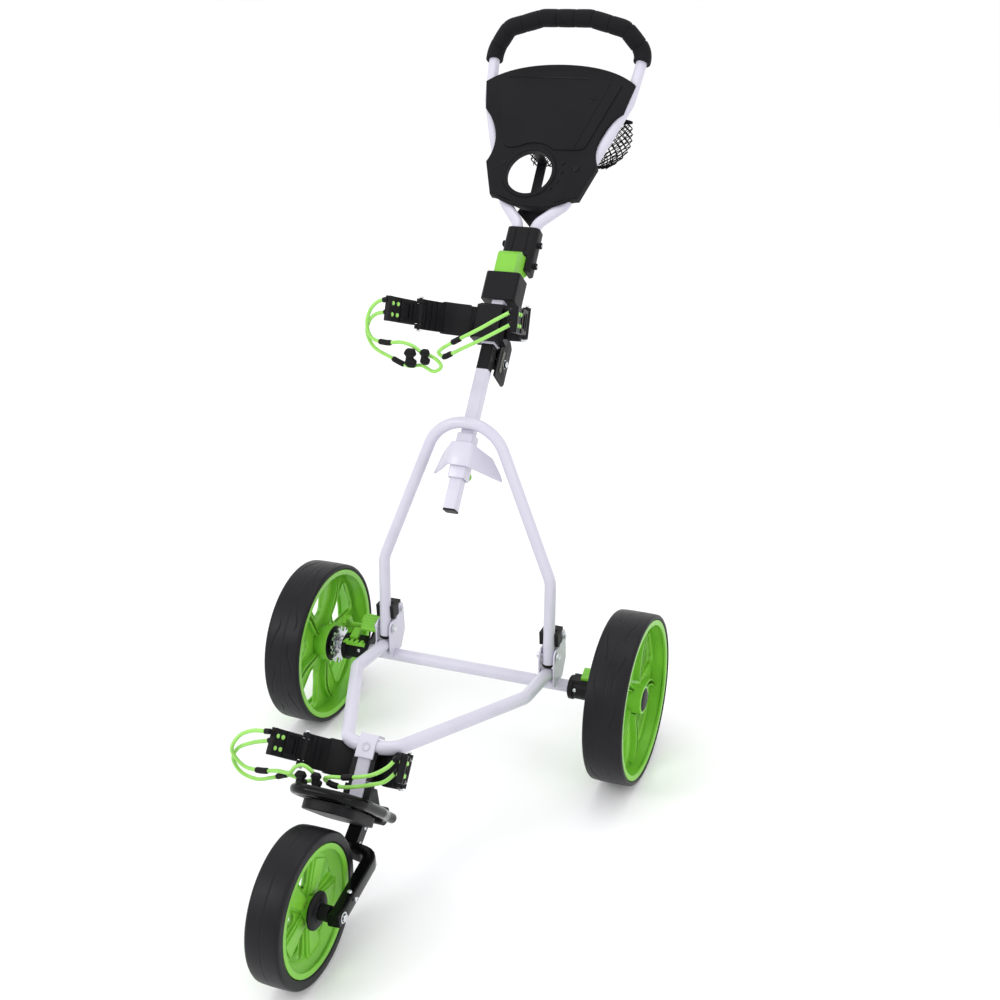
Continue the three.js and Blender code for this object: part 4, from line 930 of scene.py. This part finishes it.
def lower_frame():
    body = "lower_frame"
    loop = mirrored_path([(LEG_X, 0, 0), (LEG_X, -0.112, 0), (0.038, -0.374, 0)])
    tube("lower_loop", LOOP, bent(loop, 0.036), LOWER_TUBE_RADIUS, WHITE, body, sides=40,
         replaces=["lower_loop_tube"], slot="white_paint")
    low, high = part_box("cross_tube")
    tube("cross_bar", Matrix(), [
        (low.x, REAR_AXLE.y, REAR_AXLE.z), (high.x, REAR_AXLE.y, REAR_AXLE.z),
    ], LOWER_TUBE_RADIUS, WHITE, body, sides=40, replaces=["cross_tube"], slot="white_paint")
    refined("rear_axle", STEEL, 0.0006, "bright_steel")
    for label, side in SIDES:
        refined(label + "_hinge_bracket", WHITE, 0.0005, "white_paint")
        refined(label + "_pivot_bolt", STEEL, 0.0003, "bright_steel")
        refined(label + "_axle_housing", BLACK, 0.0008, "black_plastic")
        refined(label + "_leg_clip", BLACK, 0.0010, "black_plastic")
        pivot = joint_point("upright_fold")
        clip = joint_point(label + "_clip_open")
        for face in (-1, 1):
            name = f"{label}_{'inner' if face * side < 0 else 'outer'}"
            reach = 0.0150 * face
            hex_head(name + "_pivot_nut", (side * LEG_X + reach * 1.02, pivot.y, pivot.z),
                     (face, 0, 0), 0.0060, 0.0036, STEEL, body)
            hex_head(name + "_clip_nut", (side * LEG_X + reach, clip.y, clip.z),
                     (face, 0, 0), 0.0048, 0.0030, STEEL, body)
        for number, (y, z) in enumerate(((0.0165, 0.0), (-0.0165, 0.010)), start=1):
            spot = (side * 0.2405, REAR_AXLE.y + y, REAR_AXLE.z + z)
            rivet(f"{label}_housing_rivet_{number}", spot, (side, 0, 0), 0.0030, 0.0014, STEEL,
                  body)
        band = Matrix.Translation((side * 0.1975, REAR_AXLE.y, REAR_AXLE.z))
        turned(label + "_housing_band", band, [
            (0.0115, -0.0045), (0.0200, -0.0045), (0.0208, -0.0035), (0.0208, 0.0035),
            (0.0200, 0.0045), (0.0115, 0.0045), (0.0115, -0.0045),
        ], BLACK, body, slot="black_plastic")
        rivet(f"{label}_housing_screw", (side * 0.206, REAR_AXLE.y - 0.0182, REAR_AXLE.z + 0.006),
              (0, -1, 0.2), 0.0034, 0.0020, STEEL, body)


def stub_and_rest():
    body = "lower_frame"
    refined("front_stub", WHITE, 0.0008, "white_paint")
    refined("stub_fitting", BLACK, 0.0010, "black_plastic")
    dimple = STUB @ Vector((0, -0.0142, 0.018))
    turned("nose_dimple", spinning(dimple, STUB.to_3x3() @ Vector((0, -1, 0))), [
        (0.0075, -0.0006), (0.0070, 0.0007), (0.0058, 0.0009), (0.0046, 0.0003), (0, -0.0002),
        (0, -0.0006),
    ], WHITE, body, segments=40, slot="white_paint")
    seam = [(-0.0148, -0.0143, 0.0015), (0.0148, -0.0143, 0.0015)]
    tube("nose_seam", STUB, seam, 0.0009, WHITE, body, sides=12, slot="white_paint")
    rim = mirrored_path([
        (0.044, 0.007, 0), (0.044, -0.020, 0), (0.054, -0.060, 0), (0.054, -0.170, 0),
    ])
    tube("bag_rest_ring", REST, bent(rim, 0.038), 0.0080, GLOSS, body, sides=32,
         replaces=["bag_rest_rim"], slot="black_gloss")
    refined("bag_rest_base", BLACK, 0.0016, "black_plastic")
    for number in range(5):
        y = -0.060 - 0.016 * number
        half = 0.030 if number in (0, 4) else 0.034
        tube(f"bag_rest_rib_{number + 1}", REST, [(-half, y, -0.0088), (half, y, -0.0088)],
             0.0011, BLACK, body, sides=12, slot="black_plastic")
    pivot = joint_point("fork_fold")
    for label, side in SIDES:
        for number, lift in enumerate((-0.0052, 0.0052), start=1):
            spot = (side * 0.0358, pivot.y + lift, pivot.z + 0.3 * lift)
            rivet(f"{label}_boss_bolt_{number}", spot, (side, 0, 0), 0.0034, 0.0020, STEEL, body)


def fork():
    body = "fork"
    refined("fork_post", GLOSS, 0.0010, "black_gloss")
    refined("fork_arm", GLOSS, 0.0016, "black_gloss")
    refined("front_axle", BLACK, 0.0005, "black_plastic")
    pivot = joint_point("fork_fold")
    along = Vector((0, -0.046, -0.028))
    for number, share in enumerate((0.45, 0.92), start=1):
        rivet(f"fork_post_screw_{number}", pivot + along * share + Vector((0.0108, 0, 0)),
              X_AXIS, 0.0036, 0.0024, STEEL, body)
    hub = joint_point("front_wheel_spin")
    hex_head("front_axle_nut", (hub.x + 0.0672, hub.y, hub.z), X_AXIS, 0.0062, 0.0028, STEEL, body)
    rivet("fork_arm_screw", (hub.x + 0.0668, hub.y + 0.040, hub.z), X_AXIS, 0.0038, 0.0024,
          STEEL, body)
    rivet("fork_arm_top_screw", (hub.x + 0.057, hub.y + 0.040, hub.z + 0.0105), Z_AXIS, 0.0036,
          0.0022, STEEL, body)


lower_frame()
stub_and_rest()
fork()


# ---------------------------------------------------------------- brake and release levers
def brake():
    refined("brake_pedal", GREEN, 0.0008, "green_plastic")
    low, high = Vector((-0.042, 0.022)), Vector((-0.014, 0.039))
    for number in range(6):
        spot = low.lerp(high, 0.08 + 0.168 * number)
        tube(f"pedal_rib_{number + 1}", PEDAL, [
            (0.0205, spot.x, spot.y), (0.0515, spot.x, spot.y),
        ], 0.0013, GREEN, "brake", sides=14, slot="green_plastic")
    for label in ("left", "right"):
        refined(label + "_release_lever", GREEN, 0.0007, "green_plastic")
    teeth = [(-0.022, 0.0)]
    for tooth in range(4):
        teeth += [(-0.018 + 0.010 * tooth, 0.004), (-0.012 + 0.010 * tooth, 0.004),
                  (-0.011 + 0.010 * tooth, 0.001)]
    teeth += [(0.022, 0.0), (0.022, -0.004), (-0.022, -0.004)]
    place = Matrix.Translation((-0.217, REAR_AXLE.y - 0.012, REAR_AXLE.z + 0.0175)) @ FACE_ON
    plate("linkage_plate", place, [rounded(teeth, 0.0012, 2)], 0.010, GREEN, "lower_frame",
          bevel=0.0006, slot="green_plastic")


brake()


# ---------------------------------------------------------------- upright and mast
KNOB_Z = 0.072  # along the mast


def upright_path():
    """Two straight legs that lean in and meet in one round arch."""
    sides = mirrored_path([(LEG_X, 0, -0.017), (LEG_X, 0, 0.136), (0.050, 0, 0.397)])
    low = bent(sides[:3], 0.044)[:-1]
    middle = bent(sides[1:5], 0.070)[1:-1]
    high = [Vector((-point.x, point.y, point.z)) for point in reversed(low)]
    return low + middle + high


def wing_bracket():
    """The sleeve that the mast slides in, held between the legs by a plate folded round it."""
    body = "upright"
    inside, outside = 0.0122, 0.0147
    rings = [rounded_square(reach, 0.003, 4) for reach in (outside, inside)]
    plate("mast_sleeve", MAST @ Matrix.Translation((0, 0, 0.095)), rings, 0.078, WHITE, body,
          bevel=0.0006, replaces=["wing_bracket"], slot="white_paint")
    # Each column of the folded sheet: its x, its y, and its lowest and highest z.
    columns = [(0.0, -0.0195, 0.0755, 0.1165), (0.0150, -0.0195, 0.0755, 0.1165),
               (0.0178, -0.0180, 0.0753, 0.1160), (0.0200, -0.0150, 0.0750, 0.1150),
               (0.0440, 0.0195, 0.0735, 0.1050), (0.0580, 0.0370, 0.0722, 0.0830),
               (0.0622, 0.0405, 0.0718, 0.0735)]
    columns = [(-x, y, low, high) for x, y, low, high in columns[:0:-1]] + columns
    vertices, faces = [], []
    for x, y, low, high in columns:
        vertices += [MAST @ Vector((x, y, low)), MAST @ Vector((x, y, high))]
    for i in range(len(columns) - 1):
        faces.append((2 * i, 2 * i + 2, 2 * i + 3, 2 * i + 1))
    sheet = add_piece("wing_plate", mesh_of("wing_plate", vertices, faces), WHITE, body,
                      slot="white_paint")
    thickness = sheet.modifiers.new("thickness", "SOLIDIFY")
    thickness.thickness = 0.003
    thickness.offset = 0
    edges = sheet.modifiers.new("edges", "BEVEL")
    edges.width = 0.0008
    edges.segments = 2
    boss = MAST @ Vector((0, outside - 0.001, KNOB_Z))
    turned("knob_boss", spinning(boss, MAST.to_3x3() @ Y_AXIS), [
        (0.0042, 0), (0.0080, 0), (0.0080, 0.0085), (0.0072, 0.0092), (0.0042, 0.0092), (0.0042, 0),
    ], WHITE, body, segments=48, slot="white_paint")


def upright():
    body = "upright"
    tube("a_frame", UPRIGHT, upright_path(), UPPER_TUBE_RADIUS, WHITE, body, sides=40,
         replaces=["a_frame_tube"], slot="white_paint")
    for label, side in SIDES:
        foot = UPRIGHT @ Vector((side * LEG_X, 0, -0.017))
        turned(label + "_leg_plug", spinning(foot, UPRIGHT.to_3x3() @ Vector((0, 0, -1))), [
            (0, 0.0022), (0.0088, 0.0022), (0.0106, 0.0008), (0.0107, -0.0035), (0, -0.0035),
        ], BLACK, body, segments=40, slot="black_plastic")
    wing_bracket()
    knob = MAST @ Vector((0, 0.0232, KNOB_Z))
    flutes = [(0.0042, -0.009), (0.0042, 0.0), (0.0072, 0.0004), (0.0082, 0.0016)]
    for number in range(4):
        start = 0.0026 + 0.0028 * number
        flutes += [(0.0082, start), (0.0074, start + 0.0008), (0.0074, start + 0.0014),
                   (0.0082, start + 0.0022)]
    flutes += [(0.0080, 0.0144), (0.0066, 0.0157), (0, 0.0160)]
    turned("ribbed_knob", spinning(knob, MAST.to_3x3() @ Y_AXIS), flutes, GREEN, "knob",
           segments=48, replaces=["pull_knob"], slot="green_plastic")


def mast():
    refined("lower_mast_tube", WHITE, 0, "white_paint")
    refined("mast_end_cap", BLACK, 0.0006, "black_plastic")
    refined("hinge_insert", BLACK, 0.0006, "black_plastic")
    refined("hinge_channel", BLACK, 0.0006, "black_plastic")
    refined("upper_mast_tube", WHITE, 0, "white_paint")
    refined("upper_bag_cradle", BLACK, 0.0009, "black_plastic")
    refined("collar", BLACK, 0.0014, "black_plastic")
    refined("handle_tongue", GREEN, 0.0010, "green_plastic")
    refined("cam_lever", BLACK, 0.0008, "black_plastic")
    body = "upper_mast"
    rings = [rounded_square(0.0123, 0.003), rounded_square(0.0112, 0.002)]
    plate("hinge_ring", MAST @ Matrix.Translation((0, 0, 0.2985)), rings, 0.0045, WHITE, body,
          bevel=0.0005, slot="white_paint")
    strip = [(0.0258, 0.262), (0.0340, 0.262), (0.0340, 0.300), (0.0258, 0.300)]
    place = MAST @ Matrix.Translation((0.0172, 0, 0)) @ SIDE_ON
    plate("spring_strip", place, [rounded(strip, 0.0012, 2)], 0.0016, DULL_STEEL, body,
          bevel=0.0004, slot="bright_steel")
    for number in range(7):
        z = 0.265 + 0.0053 * number
        tube(f"spring_rib_{number + 1}", MAST, [(0.0182, 0.0264, z), (0.0182, 0.0334, z)], 0.0007,
             DULL_STEEL, body, sides=10, slot="bright_steel")
    hinge = joint_point("mast_fold")
    for label, side in SIDES:
        hex_head(f"{label}_hinge_nut", (side * 0.0170, hinge.y, hinge.z), (side, 0, 0), 0.0058,
                 0.0036, STEEL, body)
    for label, side in SIDES:
        for number, z in enumerate((0.262, 0.284), start=1):
            angles = [math.radians(40 + 28 * k) for k in range(11)]
            mark = [(side * 0.0113, 0.0042 * math.cos(a), z + 0.0058 * math.sin(a))
                    for a in angles]
            tube(f"{label}_insert_mark_{number}", MAST, mark, 0.0006, BLACK_SATIN, "mast",
                 sides=10, slot="black_plastic")


upright()
mast()


# ---------------------------------------------------------------- handle and grip
HANDLE_LEG = [
    (0.017, 0.041, 0.502), (0.017, 0.041, 0.547), (0.056, 0.052, 0.592), (0.092, 0.052, 0.682),
    (0.134, 0.052, 0.800), (0.144, 0.046, 0.900),
]
HANDLE_ARCH = [(0.112, 0.014, 0.926), (0.045, 0.003, 0.940)]
GRIP_SEGMENTS = 11
GRIP_RADIUS = 0.016
HANDLE_BEND = 0.030


def grip_radius(total):
    """The foam's radius along it: cushions between narrow grooves, square at its ends."""
    part = total / GRIP_SEGMENTS

    def radius(at):
        place = at / part
        nearest = round(place)
        if nearest in (0, GRIP_SEGMENTS):
            return GRIP_RADIUS - 0.0008 * max(0.0, 1 - abs(place - nearest) * part / 0.0012)
        groove = math.exp(-((place - nearest) * part / 0.0010) ** 2)
        crown = 0.0003 * math.sin(math.pi * (place % 1.0))
        return GRIP_RADIUS - 0.0003 + crown - 0.0014 * groove

    return radius


def handle():
    body = "handle"
    loop = bent(mirrored_path([*HANDLE_LEG, *HANDLE_ARCH]), HANDLE_BEND)
    tube("handle_loop", MAST, loop, UPPER_TUBE_RADIUS, WHITE, body, sides=36,
         replaces=["handle_tube"], slot="white_paint")
    top, below = Vector(HANDLE_LEG[-1]), Vector(HANDLE_LEG[-2])
    start = top.lerp(below, 0.021 / (top - below).length)
    path = bent(mirrored_path([tuple(start), HANDLE_LEG[-1], *HANDLE_ARCH]), HANDLE_BEND)
    path = [MAST @ point for point in evenly(path, 0.0008)]
    total = lengths_along(path)[-1]
    mesh = tube_mesh("foam_grip", path, grip_radius(total), 40)
    grip = add_piece("foam_grip", mesh, FOAM, body, replaces=["handle_grip"], slot="grip_foam")
    refined("handle_block", BLACK, 0.0012, "black_plastic")
    for label, side in SIDES:
        for number, z in enumerate((0.467, 0.507), start=1):
            spot = MAST @ Vector((side * 0.0342, 0.041, z))
            rivet(f"{label}_block_bolt_{number}", spot, (side, 0, 0), 0.0060, 0.0028, BLACK, body)
            rivet(f"{label}_block_pin_{number}", spot + Vector((side * 0.0022, 0, 0)),
                  (side, 0, 0), 0.0030, 0.0016, STEEL, body)
        groove = [(side * 0.0125, 0.0238, 0.490), (side * 0.0125, 0.0238, 0.531)]
        tube(f"{label}_block_ridge", MAST, groove, 0.0014, BLACK, body, sides=14,
             slot="black_plastic")


handle()


# ---------------------------------------------------------------- console
CONSOLE_FRONT = 0.035
CONSOLE_BACK = 0.052
HOLE = (-0.017, 0.646)
HOLE_RADIUS = 0.043
LID_LINE_Y = 0.0329  # just proud of the lid's face


def console_outline(inset):
    bottom = 0.577 + inset
    top = 0.866 - inset
    right = [(0, bottom)]
    right += bezier(
        (0, bottom), (0.030, bottom), (0.050, bottom + 0.020), (0.083 - inset, 0.600 + inset))
    right.append((0.105 - inset, 0.664))
    right += bezier(
        right[-1], (0.092 - inset, 0.690), (0.090 - inset, 0.732), (0.131 - inset, 0.772))
    right.append((0.143 - inset, 0.828 - inset))
    right += bezier(right[-1], (0.110, top - 0.012), (0.060, top), (0, top))
    left = [(-x, z) for x, z in reversed(right[1:-1])]
    return right + left


def lid_outline():
    """The raised lid: straight sides, a top like the console's, and an arch over the hole."""
    side = [(-0.0800, 0.706), (-0.1200, 0.824)]
    top = [(x, 0.8245 + 0.0265 * (1 - (x / 0.120) ** 2)) for x in
           [-0.120 + 0.012 * i for i in range(1, 20)]]
    down = [(0.1200, 0.824), (0.0800, 0.706)]
    low_right = bezier(down[-1], (0.076, 0.695), (0.072, 0.6935), (0.060, 0.6930), 6)
    angles = [math.radians(52 + 7.5 * i) for i in range(10)]
    arch = [(HOLE[0] + 0.0585 * math.cos(a), HOLE[1] + 0.0585 * math.sin(a)) for a in angles]
    low_left = bezier((-0.060, 0.6935), (-0.072, 0.6935), (-0.077, 0.695), (-0.0800, 0.706), 6)[:-1]
    return side + top + down + low_right + arch + [(-0.060, 0.6935)] + low_left


def console():
    body = "handle"

    def front(y):
        """The place of a flat outline in X and the mast's Z, its middle plane at the given Y."""
        return MAST @ Matrix.Translation((0, y, 0)) @ FACE_ON

    def face_point(x, z, y=CONSOLE_FRONT):
        return MAST @ Vector((x, y, z))

    towards = MAST.to_3x3() @ Vector((0, -1, 0))
    outline = console_outline(0)
    plate("console_front", front(CONSOLE_FRONT + 0.0022), [outline, ring(HOLE_RADIUS, HOLE, 96)],
          0.0044, CONSOLE_PLASTIC, body, bevel=0.0020, replaces=["console"], slot="black_plastic")
    wall = CONSOLE_BACK - CONSOLE_FRONT - 0.003
    plate("console_wall", front(CONSOLE_BACK - wall / 2), [outline, console_outline(0.0035)], wall,
          CONSOLE_PLASTIC, body, bevel=0.0006, slot="black_plastic")
    plate("console_lid", front(CONSOLE_FRONT - 0.0004), [lid_outline()], 0.0032, CONSOLE_PLASTIC,
          body, bevel=0.0010, slot="black_plastic")
    turned("hole_ring", spinning(face_point(*HOLE), towards), [
        (0.0432, -0.012), (0.0422, 0.0010), (0.0432, 0.0026), (0.0462, 0.0030), (0.0492, 0.0022),
        (0.0508, -0.0004), (0.0475, -0.0012), (0.0470, -0.012), (0.0432, -0.012),
    ], CONSOLE_PLASTIC, body, segments=120, slot="black_plastic")
    slot = rounded([(-0.098, 0.8352), (0.056, 0.8352), (0.056, 0.8378), (-0.098, 0.8378)], 0.0012)
    plate("lid_slot", front(CONSOLE_FRONT - 0.0021), [slot], 0.0008, GLOSS, body, bevel=0.0003,
          slot="black_gloss")
    for name, start, end in (
        ("crease", (0.0985, 0.8280), (0.0560, 0.6950)),
        ("mark_across", (0.066, 0.7965), (0.084, 0.7935)),
        ("mark_up", (0.073, 0.787), (0.077, 0.803)),
    ):
        line = [face_point(*start, LID_LINE_Y), face_point(*end, LID_LINE_Y)]
        tube(f"lid_{name}", Matrix(), line, 0.0006, CONSOLE_PLASTIC, body, sides=12,
             slot="black_plastic")
    # Each hole's x, z and radius.
    dimples = [(0.041, 0.668, 0.0036), (0.042, 0.650, 0.0036), (0.038, 0.632, 0.0036),
               (0.028, 0.617, 0.0036), (0.068, 0.658, 0.0058)]
    for number, (x, z, radius) in enumerate(dimples, start=1):
        turned(f"tee_hole_{number}", spinning(face_point(x, z), towards), [
            (radius + 0.0014, -0.0008), (radius + 0.0010, 0.0008), (radius, 0.0012),
            (radius - 0.0008, 0.0006), (radius - 0.0012, 0.0002), (0, 0.0002), (0, -0.0008),
        ], GLOSS, body, segments=36, slot="black_gloss")
    rivet("console_screw", face_point(-0.069, 0.663), towards, 0.0046, 0.0014, BLACK, body)
    lip = bezier((-0.070, 0.5925), (-0.045, 0.5780), (-0.025, 0.5770), (0, 0.5770), 10)
    lip = [(-0.070, 0.5925), *lip]
    lip += [(-x, z) for x, z in reversed(lip[:-1])]
    tube("console_lip", Matrix(), [face_point(x, z + 0.004, 0.0355) for x, z in lip], 0.0030,
         CONSOLE_PLASTIC, body, sides=20, slot="black_plastic")
    refined("bottle_holder", BLACK_SATIN, 0.0010, "black_plastic")


def net_pocket():
    """A net bag behind the console: one rectangle of net, folded up at the bottom and sewn."""
    body = "handle"
    columns, rows = 34, 32
    middle = 0.110
    depth = 0.0175

    def spot(i, j):
        across = i / columns
        down = 2 * j / rows
        fall = down if down <= 1 else 2 - down
        left = -0.064 + 0.020 * fall ** 3
        right = 0.127 + 0.009 * math.sin(math.pi * fall) - 0.030 * fall ** 4
        fullness = (1 - (2 * across - 1) ** 4) * (1 - fall ** 5) ** 0.5
        bulge = depth * fullness * (0.55 + 0.45 * fall)
        sag = 0.003 * math.sin(9 * across) * (1 - fall)
        y = middle + (bulge if down > 1 else -bulge)
        return MAST @ Vector((left + (right - left) * across, y, 0.795 - 0.095 * fall + sag))

    vertices, index = [], {}
    for i in range(columns + 1):
        for j in range(rows + 1):
            if (i + j) % 2 == 0:
                index[i, j] = len(vertices)
                vertices.append(spot(i, j))
    faces = []
    for i in range(1, columns):
        for j in range(1, rows):
            if (i + j) % 2:
                faces.append((index[i - 1, j], index[i, j - 1], index[i + 1, j], index[i, j + 1]))
    mesh = mesh_of("net_pocket", vertices, faces)
    net = add_piece("net_pocket", mesh, NET, body, replaces=["mesh_bag"], slot="net", smooth=False)
    yarn = net.modifiers.new("yarn", "WIREFRAME")
    yarn.thickness = 0.0028
    yarn.use_even_offset = False
    for label, j in (("front", 0), ("back", rows)):
        path = [spot(i, j) for i in range(columns + 1)]
        hem = add_piece(f"net_{label}_hem", tube_mesh(f"net_{label}_hem", path, 0.0026, 16), NET,
                        body, slot="net")


console()
net_pocket()


# ---------------------------------------------------------------- bag cradles
LOWER_ARM = [(0.0135, 0.015), (0.034, 0.012), (0.058, -0.004), (0.078, -0.032), (0.094, -0.072),
             (0.106, -0.114)]
UPPER_ARM = [(0.014, 0.002), (0.044, -0.006), (0.068, -0.026), (0.088, -0.068), (0.101, -0.124),
             (0.109, -0.182)]


def arm_line(arm):
    """Close points along an arm's centre line, with the length to each."""
    ends = [arm[0], *arm, arm[-1]]
    points = [Vector(arm[0])]
    for a, b, c, d in zip(ends, ends[1:], ends[2:], ends[3:]):
        a, b, c, d = (Vector(p) for p in (a, b, c, d))
        points += cubic(b, c, (c - a) / 2, (d - b) / 2, 20)
    return points, lengths_along(points)


def arm_place(line, share):
    """The point and direction at a share of an arm's length."""
    points, along = line
    want = share * along[-1]
    last = max(1, next(i for i, a in enumerate(along) if a >= want - 1e-9))
    step = along[last] - along[last - 1]
    point = points[last - 1].lerp(points[last], (want - along[last - 1]) / step)
    return point, (points[last] - points[last - 1]).normalized()


def arm_strip(line, start, end, thickness, offset, steps=12):
    near, far = [], []
    for i in range(steps + 1):
        point, ahead = arm_place(line, start + (end - start) * i / steps)
        side = Vector((-ahead.y, ahead.x))
        near.append(tuple(point + side * (offset + thickness / 2)))
        far.append(tuple(point + side * (offset - thickness / 2)))
    return near + far[::-1]


def cradle_arm(label, side, place, arm, fixed_body):
    """The pads, ribs, buckle and knots on one arm, on its fixed part and its tip."""
    line = arm_line(arm)
    tip_body = label + "_arm"

    def strip(name, start, end, thickness, height, body, material, offset=0.0, z=0.0, bevel=0.0010):
        outline = arm_strip(line, start, end, thickness, offset)
        outline = [(side * x, y) for x, y in outline]
        plate(f"{label}_{name}", place @ Matrix.Translation((0, 0, z)), [outline], height, material,
              body, bevel=bevel, slot="black_plastic")

    strip("pad", 0.10, 0.33, 0.0105, 0.0545, fixed_body, BLACK_SATIN, bevel=0.0030)
    for number, share in enumerate((0.385, 0.445, 0.505), start=1):
        strip(f"ridge_{number}", share, share + 0.022, 0.0105, 0.048, fixed_body, BLACK)
    for number, z in enumerate((-0.0165, 0.0165), start=1):
        strip(f"buckle_bar_{number}", 0.655, 0.84, 0.0105, 0.0055, tip_body, BLACK, z=z)
    for number, share in enumerate((0.665, 0.828), start=1):
        strip(f"buckle_post_{number}", share, share + 0.020, 0.0100, 0.036, tip_body, BLACK)
    strip("slot_floor", 0.690, 0.845, 0.0030, 0.034, tip_body, BLACK)
    strip("end_lip", 0.972, 0.998, 0.0100, 0.0405, tip_body, BLACK)
    for number, share in enumerate((0.89, 0.96), start=1):
        point, ahead = arm_place(line, share)
        across = Vector((-ahead.y * side, ahead.x, 0))
        for row, z in enumerate((-0.009, 0.009), start=1):
            middle = Vector((side * point.x, point.y, z))
            path = [middle - across * 0.0062, middle - across * 0.0050, middle - across * 0.0015,
                    middle + across * 0.0015, middle + across * 0.0050, middle + across * 0.0062]
            reach = 0.0124

            def radius(at, reach=reach):
                return 0.0020 + 0.0014 * min(1.0, min(at, reach - at) / 0.0012)

            tube(f"{label}_knot_{number}_{row}", place, path, radius, LIME, tip_body, sides=18,
                 slot="green_cord")
    hinge, _ = arm_place(line, 0.58)
    for end, z in (("low", -0.027), ("high", 0.027)):
        spot = place @ Vector((side * hinge.x, hinge.y, z))
        direction = place.to_3x3() @ Vector((0, 0, math.copysign(1, z)))
        rivet(f"{label}_{end}_pin_head", spot, direction, 0.0042, 0.0022, STEEL, tip_body)


def cradles():
    refined("lower_bag_cradle", BLACK, 0.0009, "black_plastic")
    for label in ROUTES:
        refined(label + "_tip", BLACK, 0.0006, "black_plastic")
    for label, side in SIDES:
        cradle_arm("lower_" + label, side, LOWER_CRADLE, LOWER_ARM, "lower_frame")
        cradle_arm("upper_" + label, side, UPPER_CRADLE, UPPER_ARM, "upper_mast")


cradles()
